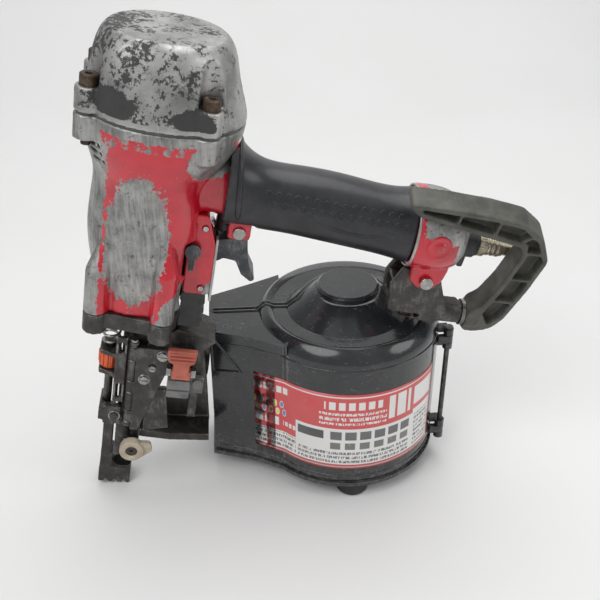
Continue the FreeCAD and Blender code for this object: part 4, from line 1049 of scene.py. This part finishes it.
# ---- operators -------------------------------------------------------------------
class NAILER_OT_head(bpy.types.Operator):
    """Finish the cylinder cap, the housing and what they hold"""

    bl_idname = "nailer.head"
    bl_label = "Finish head"

    def execute(self, context):
        cap = cad_copy("cylinder_cap")
        cast(cap, rounds=6)
        dress(cap, "tool", "cap_alloy", cast_cap(), "cylinder_cap")
        housing = cad_copy("main_housing")
        add_hulls(housing, self.fairings())
        cast(housing, voxel=0.00088, keep=0.6)
        dress(housing, "tool", "red_enamel", red_paint("housing"), "main_housing")
        finish_node("cap_gasket", moulding_named("gasket_sheet"), width=0.0002)
        finish_node("cap_screws", metal_named("brown_bolt"), width=0.0004)
        finish_node("nose_screws", metal_named("brown_bolt"), width=0.0004)
        for node in ("cylinder_sleeve", "driver_blade", "head_valve_spring"):
            finish_node(node, metal_named("bright_steel"), width=0.0002)
        finish_node("piston", metal_named("pale_steel"))
        finish_node("head_valve", moulding_named("black_nylon"))
        finish_node("bumper", moulding_named("black_rubber"))
        return {"FINISHED"}

    def fairings(self):
        """Webs that run the bolt columns into the barrel above them."""
        groups = []
        columns = ((-21.0, 25.0, 170.0), (-21.0, -25.0, 170.0), (14.5, 30.0, 174.0), (14.5, -30.0, 174.0))
        for a, y, top in columns:
            low = circle_points(DRIVE_FRAME, a, y, 141.2, 6.6)
            low += circle_points(DRIVE_FRAME, a, y, top - 3.0, 6.4)
            inward = 0.80 if a < 0 else 0.84
            low += circle_points(DRIVE_FRAME, a * inward, y * inward, top + 16.0, 3.6)
            low += circle_points(DRIVE_FRAME, a * 0.86, y * 0.86, 141.2, 5.0)
            groups.append(low)
        for a, y in ((-31.5, 18.5), (-31.5, -18.5), (26.5, 30.0), (26.5, -30.0)):
            lug = circle_points(DRIVE_FRAME, a, y, 249.4, 6.9)
            middle, foot = (243.5, 238.5) if a < 0 else (238.0, 224.0)
            lug += circle_points(DRIVE_FRAME, a, y, middle, 6.4)
            lug += circle_points(DRIVE_FRAME, a * 0.84, y * 0.84, foot, 3.0)
            groups.append(lug)
        return groups


class NAILER_OT_handle(bpy.types.Operator):
    """Finish the rubber grip and its end cap"""

    bl_idname = "nailer.handle"
    bl_label = "Finish handle"

    def execute(self, context):
        grip = cad_copy("grip_sleeve")
        cast(grip, voxel=0.0009, rounds=12, gain=4.0)
        dress(grip, "tool", "grip_rubber", moulding_named("grip_rubber"), "grip_sleeve")
        surface = surface_of(grip)
        self.dimples(grip)
        self.ridges(surface)
        end = cad_copy("end_cap")
        cast(end, voxel=0.0007, rounds=5)
        dress(end, "tool", "red_enamel", red_paint("end cap"), "end_cap")
        finish_node("end_cap_screws", metal_named("brown_bolt"), width=0.0003)
        self.rim()
        self.badge(surface_of(end))
        return {"FINISHED"}

    def dimples(self, grip):
        count = settings().dimples
        rows = ((217.5, 213.5, 62.0, 134.0), (212.2, 208.6, 66.0, 138.0))
        for side, name in ((-1, "near"), (1, "far")):
            for row, (h0, h1, a0, a1) in enumerate(rows):
                start = spot(DRIVE_FRAME, a0, side * 40.0, h0)
                end = spot(DRIVE_FRAME, a1, side * 40.0, h1)
                piece = grown(
                    f"grip_dimples_{name}_{row}",
                    Trees.get(scatter_tree),
                    Surface=grip,
                    Stamp=stamp_cup(0.0019, 0.0004, 0.0007),
                    Count=count,
                    Start=start,
                    Step=(end - start) / (count - 1),
                    Direction=Vector((0.0, -side, 0.0)),
                    Material=moulding_named("grip_rubber"),
                )
                dress(piece, "tool", "grip_rubber", moulding_named("grip_rubber"))

    def ridges(self, surface):
        crescent = [(84.0, 210.5), (90.0, 206.0), (98.0, 202.6), (107.0, 200.8), (116.0, 200.4)]
        crescent += [(124.0, 201.6), (131.0, 204.2)]
        for side, name in ((-1, "near"), (1, "far")):
            corners = [spot(DRIVE_FRAME, a, side * 40.0, h) for a, h in crescent]
            points, normals = draped(surface, along_line(corners, 0.002), Vector((0, -side, 0)), 0.0002)
            piece = sweep(f"grip_crescent_{name}", points, normals, 0.0011, 0.0008)
            dress(piece, "tool", "grip_rubber", moulding_named("grip_rubber"))
        path = []
        for i in range(15):
            t = math.radians(-128 + 256 * i / 14)
            c, s = math.cos(t), math.sin(t)
            path.append(spot(DRIVE_FRAME, 47.5 - 3.0 * c, 40.0 * s, 214.0 + 40.0 * c))
        middle = spot(DRIVE_FRAME, 46.0, 0.0, 214.0)
        points, normals = [], []
        for point in along_line(path, 0.006):
            hit, normal, _, _ = surface.ray_cast(point, (middle - point).normalized())
            if hit is not None:
                points.append(hit)
                normals.append(normal)
        piece = sweep("grip_collar", points, normals, 0.0016, 0.0011)
        dress(piece, "tool", "grip_rubber", moulding_named("grip_rubber"))

    def rim(self):
        """Thin metal edge where the grip meets its end cap."""
        points, normals = [], []
        for i in range(72):
            t = 2 * math.pi * i / 72
            c, s = math.cos(t), math.sin(t)
            y = 21.9 * math.copysign(abs(c) ** (2 / 2.4), c)
            h = 21.4 * math.copysign(abs(s) ** (2 / 2.4), s)
            points.append(spot(DRIVE_FRAME, 144.25, y, 202.1 + h))
            normals.append((DRIVE_FRAME.to_3x3() @ Vector((0.0, y, h))).normalized())
        piece = sweep("grip_end_rim", points, normals, 0.0009, 0.0007, closed=True)
        dress(piece, "tool", "cap_alloy", metal_named("pale_steel"))

    def badge(self, surface):
        """A plain raised disc on each side of the end cap."""
        for side, name in ((-1, "near"), (1, "far")):
            rings = []
            profile = ((7.4, -0.3), (7.0, 0.55), (6.0, 0.62), (5.6, 0.25), (2.8, 0.25), (2.4, 0.55))
            for radius, lift in profile:
                ring = []
                for i in range(40):
                    t = 2 * math.pi * i / 40
                    a, h = 157.0 + radius * math.cos(t), 200.8 + radius * math.sin(t)
                    start = spot(DRIVE_FRAME, a, side * 40.0, h)
                    hit, normal, _, _ = surface.ray_cast(start, Vector((0, -side, 0)))
                    ring.append(hit + normal * lift * MM)
                rings.append(ring)
            bm = bmesh.new()
            made = [[bm.verts.new(p) for p in ring] for ring in rings]
            for outer, inner in zip(made, made[1:]):
                for i in range(40):
                    n = (i + 1) % 40
                    bm.faces.new((outer[i], outer[n], inner[n], inner[i]))
            bm.faces.new(made[-1])
            centre = sum(rings[0], Vector()) / 40
            base = bm.verts.new(centre + Vector((0, -side * 0.0012, 0)))
            for i in range(40):
                bm.faces.new((made[0][i], base, made[0][(i + 1) % 40]))
            bmesh.ops.recalc_face_normals(bm, faces=bm.faces)
            piece = even_wear(smooth(from_bmesh(f"end_cap_badge_{name}", bm)), 0.3)
            dress(piece, "tool", "red_enamel", red_paint("badge"))


class NAILER_OT_trigger(bpy.types.Operator):
    """Finish the trigger and its valve block"""

    bl_idname = "nailer.trigger"
    bl_label = "Finish trigger group"

    def execute(self, context):
        finish_node("trigger", metal_named("gunmetal"), form="cast", voxel=0.0004, rounds=3)
        finish_node("trigger_pin", metal_named("bright_steel"))
        finish_node("trigger_valve_block", red_paint("valve block"), form="cast", voxel=0.0005, rounds=3)
        finish_node("valve_base", moulding_named("black_nylon"))
        finish_node("strip_plate", metal_named("pale_steel"), width=0.0003)
        finish_node("mode_selector", metal_named("gunmetal"))
        finish_node("block_pins", metal_named("bright_steel"), width=0.0003)
        finish_node("trigger_valve", moulding_named("black_nylon"))
        finish_node("valve_stem", metal_named("bright_steel"), width=0.0002)
        finish_node("stem_spring", metal_named("bright_steel"), width=0.0001)
        return {"FINISHED"}


class NAILER_OT_nose(bpy.types.Operator):
    """Finish the nose, the contact arm, the door and the feeder"""

    bl_idname = "nailer.nose"
    bl_label = "Finish nose"

    def execute(self, context):
        for node in ("nose_body", "feed_guide", "nose_door", "tip_clamp", "contact_arm"):
            finish_node(node, metal_named("dark_steel"), form="cast", voxel=0.0006, rounds=1, keep=0.4)
        finish_node("feed_cylinder", metal_named("dark_steel"), width=0.0005)
        finish_node("contact_tip", metal_named("dark_steel"), form="cast", voxel=0.0004, rounds=2)
        for node in ("door_screws", "door_pin", "latch_pin", "feed_piston", "feed_pawl"):
            finish_node(node, metal_named("bright_steel"), width=0.0003)
        for node in ("contact_spring", "feed_piston_spring"):
            finish_node(node, metal_named("bright_steel"), width=0.0001)
        finish_node("latch_lever", moulding_named("salmon_plastic"), form="cast", voxel=0.0004, rounds=3)
        finish_node("latch_block", moulding_named("grey_block"), width=0.0008)
        finish_node("magnet_holder", moulding_named("cream_plastic"), form="cast", voxel=0.0004, rounds=3)
        finish_node("nose_magnet", moulding_named("dark_magnet"))
        finish_node("depth_dial", moulding_named("orange_plastic"), width=0.0003)
        self.dial_ribs()
        self.bolt_heads()
        return {"FINISHED"}

    def dial_ribs(self):
        ribs = grown(
            "depth_dial_ribs",
            Trees.get(wheel_tree),
            DRIVE_FRAME @ Matrix.Translation((-0.0122, -0.003, 0.096)),
            Stamp=stamp_block((0.0012, 0.0013, 0.0086), 0.0004),
            Count=settings().dial_ribs,
            Radius=0.0062,
            Material=moulding_named("orange_plastic"),
        )
        dress(ribs, "depth_dial", "orange_plastic", moulding_named("orange_plastic"))

    def bolt_heads(self):
        """Washers under the near heads of the nose."""
        for index, (a, h) in enumerate(((-6.8, 60.5), (17.8, 108.2), (8.5, 90.6))):
            body = "contact_tip" if index == 0 else "nose_door"
            y = -14.75 if index == 0 else -16.5
            place = Matrix.Translation((a * MM, y * MM, h * MM))
            matrix = DRIVE_FRAME @ place @ Matrix.Rotation(math.pi / 2, 4, "X")
            washer = grown(
                f"nose_washer_{index}",
                Trees.get(row_tree),
                matrix,
                Stamp=stamp_washer(0.0035, 0.0018, 0.0005),
                Count=1,
                Start=Vector((0, 0, 0)),
                Step=Vector((0, 0, 0)),
                Turn=Vector((0, 0, 0)),
                Material=metal_named("bright_steel"),
            )
            slot = "black_steel" if index == 0 else "bright_steel"
            dress(washer, body, slot, metal_named("bright_steel"))


class NAILER_OT_magazine(bpy.types.Operator):
    """Finish the coil magazine, its label and what is inside"""

    bl_idname = "nailer.magazine"
    bl_label = "Finish magazine"

    def execute(self, context):
        surfaces = {}
        for node in ("magazine_body", "magazine_cover"):
            piece = finish_node(node, smoke_gloss(), width=0.0006)
            surfaces[node] = surface_of(piece)
        finish_node("magazine_hinge_pin", metal_named("dark_steel"), width=0.0003)
        finish_node("magazine_feet", moulding_named("black_rubber"), width=0.0006)
        for node in ("nail_spindle", "nail_platform"):
            finish_node(node, moulding_named("black_nylon"))
        finish_node("magazine_stay", metal_named("dark_steel"), width=0.0008)
        self.label(surfaces["magazine_cover"])
        self.seam(surfaces)
        self.ring(surfaces["magazine_cover"])
        self.marks(surfaces["magazine_cover"])
        return {"FINISHED"}

    def label(self, cover):
        """The printed sheet, laid on the cover from the throat's wall round to the hinge."""
        aims = [(Vector((x, -60.0)), Vector((0.0, 1.0))) for x in (-52.0, -49.5, -47.0)]
        for degrees in range(-154, -29, 2):
            out = Vector((math.cos(math.radians(degrees)), math.sin(math.radians(degrees))))
            aims.append((Vector((0.0, MAG_Y)) + out * 90.0, -out))
        rows = 14
        columns = []
        for start, way in aims:
            hits = []
            for row in range(rows):
                height = 23.0 + 57.0 * row / (rows - 1)
                hit, normal, _, _ = cover.ray_cast(spot(FLOOR_FRAME, start.x, start.y, height), way.to_3d())
                hits.append((hit, normal))
            columns.append(hits)
        middles = [hits[rows // 2][0] for hits in columns]
        steps = [0.0] + [(b - a).length for a, b in zip(middles, middles[1:])]
        shares = np.cumsum(steps) / sum(steps)
        bm = bmesh.new()
        across = bm.verts.layers.float.new("label_u")
        upward = bm.verts.layers.float.new("label_v")
        sheets = []
        for lift in (0.00022, -0.0001):
            sheet = []
            for share, hits in zip(shares, columns):
                line = [bm.verts.new(hit + normal * lift) for hit, normal in hits]
                for row, vert in enumerate(line):
                    vert[across] = share
                    vert[upward] = row / (rows - 1)
                sheet.append(line)
            sheets.append(sheet)
        front, back = sheets
        last = len(columns) - 1
        for i in range(last):
            for k in range(rows - 1):
                for sheet in sheets:
                    bm.faces.new((sheet[i][k], sheet[i + 1][k], sheet[i + 1][k + 1], sheet[i][k + 1]))
            for k in (0, rows - 1):
                bm.faces.new((front[i][k], front[i + 1][k], back[i + 1][k], back[i][k]))
        for k in range(rows - 1):
            for i in (0, last):
                bm.faces.new((front[i][k], front[i][k + 1], back[i][k + 1], back[i][k]))
        bmesh.ops.recalc_face_normals(bm, faces=bm.faces)
        dress(smooth(from_bmesh("cover_label_look", bm)), BODY_OF["cover_label"], SLOTS["cover_label"],
              printed_sheet(), "cover_label")

    def seam(self, surfaces):
        """A raised lip on each side of the line where the cover opens."""
        sides = (
            ("magazine_cover", [(-83.0, 26.7), (-29.3, 26.7), (-10.1, 47.2), (9.6, 47.2), (28.2, 27.2)]),
            ("magazine_body", [(-83.0, 30.2), (-31.4, 30.2), (-11.2, 50.2), (10.8, 50.2), (31.2, 29.6)]),
        )
        for node, corners in sides:
            line = along_line([spot(FLOOR_FRAME, x, y, 140.0) for x, y in corners], 0.0025)
            points, normals = draped(surfaces[node], line, Vector((0, 0, -1)), 0.0001)
            lip = sweep(node + "_lip", points, normals, 0.0009, 0.0011)
            dress(lip, BODY_OF[node], "smoke_plastic", smoke_gloss())

    def ring(self, cover):
        """The triangular stiffener on the throat's near wall and the band above it."""
        triangle = [(-84.0, 101.0), (-67.0, 77.5), (-83.5, 75.5)]
        line = [spot(FLOOR_FRAME, x, -60.0, z) for x, z in triangle + triangle[:1]]
        points, normals = draped(cover, along_line(line, 0.003), Vector((0, 1, 0)), 0.0002)
        rib = sweep("throat_rib", points, normals, 0.0009, 0.0012)
        dress(rib, "magazine_cover", "smoke_plastic", smoke_gloss())
        band = []
        for degrees in range(-166, -18, 4):
            t = math.radians(degrees)
            out = Vector((math.cos(t), math.sin(t), 0.0))
            start = spot(FLOOR_FRAME, 0.0, MAG_Y, 96.5) + out * 0.09
            band.append((start, -out))
        for name, drop in (("shoulder_band", 0.0), ("foot_band", -0.0795)):
            hits = [cover.ray_cast(start + Vector((0, 0, drop)), way)[:2] for start, way in band]
            points = [hit for hit, _ in hits if hit is not None]
            normals = [normal for hit, normal in hits if hit is not None]
            strip = sweep(name, points, normals, 0.0007, 0.0006)
            dress(strip, "magazine_cover", "smoke_plastic", smoke_gloss())

    def marks(self, cover):
        """Small level marks low on the throat's near wall."""
        start, normals = draped(
            cover,
            [spot(FLOOR_FRAME, x, -60.0, 21.0) for x in (-58.0, -44.0)],
            Vector((0, 1, 0)),
        )
        heading = (start[1] - start[0]).normalized()
        turn = math.atan2(heading.y, heading.x)
        count = settings().wall_ticks
        ticks = grown(
            "wall_marks",
            Trees.get(row_tree),
            Stamp=stamp_block((0.0005, 0.0008, 0.0042), 0.0002),
            Count=count,
            Start=start[0] + normals[0] * 0.0001,
            Step=(start[1] - start[0]) / (count - 1),
            Turn=Vector((0, 0, turn)),
            Material=smoke_gloss(),
        )
        dress(ticks, "magazine_cover", "smoke_plastic", smoke_gloss())


class NAILER_OT_hook(bpy.types.Operator):
    """Finish the hook, its bracket and the air inlet"""

    bl_idname = "nailer.hook"
    bl_label = "Finish hook and inlet"

    def execute(self, context):
        finish_node("hook_arm", moulding_named("hook_nylon"), form="cast", voxel=0.0006, rounds=11)
        finish_node(
            "hook_bracket", metal_named("dark_steel"), form="cast", voxel=0.0006, rounds=2, keep=0.4
        )
        finish_node("hook_springs", metal_named("amber_spring"), width=0.0001)
        finish_node("bracket_pin", metal_named("bright_steel"))
        finish_node("hook_pivot_sleeve", metal_named("dark_steel"), form="cast", voxel=0.0005, rounds=3)
        for node in ("hook_bolt", "hook_nut"):
            finish_node(node, metal_named("brown_bolt"), width=0.0004)
        finish_node("plug_collar", moulding_named("black_nylon"), form="cast", voxel=0.0004, rounds=2)
        finish_node("air_plug", metal_named("brassy"), width=0.0004)
        self.washers()
        self.plug_ribs()
        return {"FINISHED"}

    def washers(self):
        stack = grown(
            "pivot_washers",
            Trees.get(row_tree),
            HOOK_FRAME @ Matrix.Rotation(math.pi / 2, 4, "Y"),
            Stamp=stamp_washer(0.0078, 0.0033, 0.0006),
            Count=3,
            Start=Vector((0, 0, 0.01355)),
            Step=Vector((0, 0, 0.0007)),
            Turn=Vector((0, 0, 0)),
            Material=metal_named("bright_steel"),
        )
        dress(stack, "tool", "bright_steel", metal_named("bright_steel"))

    def plug_ribs(self):
        ribs = grown(
            "air_plug_ribs",
            Trees.get(wheel_tree),
            PLUG_FRAME @ Matrix.Translation((0.01525, 0, 0)) @ Matrix.Rotation(math.pi / 2, 4, "Y"),
            Stamp=stamp_block((0.0007, 0.0008, 0.0036), 0.0002),
            Count=settings().plug_ribs,
            Radius=0.0066,
            Material=metal_named("brassy"),
        )
        dress(ribs, "air_plug", "bright_steel", metal_named("brassy"))


class NAILER_OT_stage(bpy.types.Operator):
    """Set the floor, the backdrop, the lights and the camera"""

    bl_idname = "nailer.stage"
    bl_label = "Set stage"

    def execute(self, context):
        self.backdrop()
        stage = context.scene.nailer_stage
        self.light("Key", (-650, -620, 1050), (-30, 0, 120), 0.9, stage.key_power)
        self.light("Top", (120, 350, 1250), (-30, 20, 120), 1.3, stage.top_power)
        self.light("Side", (900, -350, 620), (-20, 0, 120), 0.6, stage.key_power * 0.35)
        self.camera(stage.lens)
        world = bpy.data.worlds.new("Room")
        world.use_nodes = True
        sky = world.node_tree.nodes["Background"]
        sky.inputs["Color"].default_value = (0.97, 0.985, 1.0, 1.0)
        sky.inputs["Strength"].default_value = stage.room
        context.scene.world = world
        context.scene.view_settings.view_transform = "Standard"
        return {"FINISHED"}

    def backdrop(self):
        profile = [(-6.0, 0.0), (0.62, 0.0)]
        turns = [math.radians(9 * i) for i in range(1, 11)]
        profile += [(0.62 + 0.5 * math.sin(t), 0.5 - 0.5 * math.cos(t)) for t in turns]
        profile.append((1.12, 2.6))
        bm = bmesh.new()
        rows = [[bm.verts.new((x, y, z)) for x in (-6.0, 6.0)] for y, z in profile]
        for low, high in zip(rows, rows[1:]):
            bm.faces.new((low[0], low[1], high[1], high[0]))
        floor = smooth(from_bmesh("backdrop", bm))
        p = Paint("Off-white table")
        cloud = p.noise(0.004, 3.0, 0.5)
        grain = p.noise(0.6, 3.0, 0.6, 4.0)
        base = p.mix(cloud, (0.74, 0.735, 0.725), (0.80, 0.80, 0.795))
        floor.data.materials.append(p.finish(base, 0.55 + cloud * 0.1, 0.0, None, grain * 0.1, 0.05))

    def light(self, name, place, aim, size, power):
        lamp = bpy.data.lights.new(name, "AREA")
        lamp.shape = "DISK"
        lamp.size = size
        lamp.energy = power
        made = new_object(name, lamp)
        made.location = spot(FLOOR_FRAME, *place)
        away = made.location - spot(FLOOR_FRAME, *aim)
        made.rotation_euler = away.to_track_quat("Z", "Y").to_euler()

    def camera(self, lens):
        data = bpy.data.cameras.new("Camera")
        data.lens = lens
        data.sensor_width = 36.0
        made = new_object("Camera", data)
        made.location = spot(FLOOR_FRAME, -65.59, -437.92, 405.54)
        made.rotation_euler = (math.radians(57.647), 0.0, math.radians(-4.5))
        bpy.context.scene.camera = made


class NAILER_PT_panel(bpy.types.Panel):
    """Buttons and settings for the nailer's looks"""

    bl_idname = "NAILER_PT_panel"
    bl_label = "Nailer"
    bl_space_type = "VIEW_3D"
    bl_region_type = "UI"
    bl_category = "Nailer"

    def draw(self, context):
        for group in (context.scene.nailer_form, context.scene.nailer_stage):
            for name in group.__annotations__:
                self.layout.prop(group, name)
        for operator in OPERATORS:
            self.layout.operator(operator.bl_idname)


OPERATORS = (
    NAILER_OT_head,
    NAILER_OT_handle,
    NAILER_OT_trigger,
    NAILER_OT_nose,
    NAILER_OT_magazine,
    NAILER_OT_hook,
    NAILER_OT_stage,
)
CLASSES = (NailerFormSettings, NailerStageSettings, *OPERATORS, NAILER_PT_panel)


def register():
    for cls in CLASSES:
        bpy.utils.register_class(cls)
    bpy.types.Scene.nailer_form = bpy.props.PointerProperty(type=NailerFormSettings)
    bpy.types.Scene.nailer_stage = bpy.props.PointerProperty(type=NailerStageSettings)


def unregister():
    del bpy.types.Scene.nailer_stage
    del bpy.types.Scene.nailer_form
    for cls in reversed(CLASSES):
        bpy.utils.unregister_class(cls)


def main():
    register()
    for name in ("head", "handle", "trigger", "nose", "magazine", "hook", "stage"):
        getattr(bpy.ops.nailer, name)()


if __name__ == "__main__":
    main()
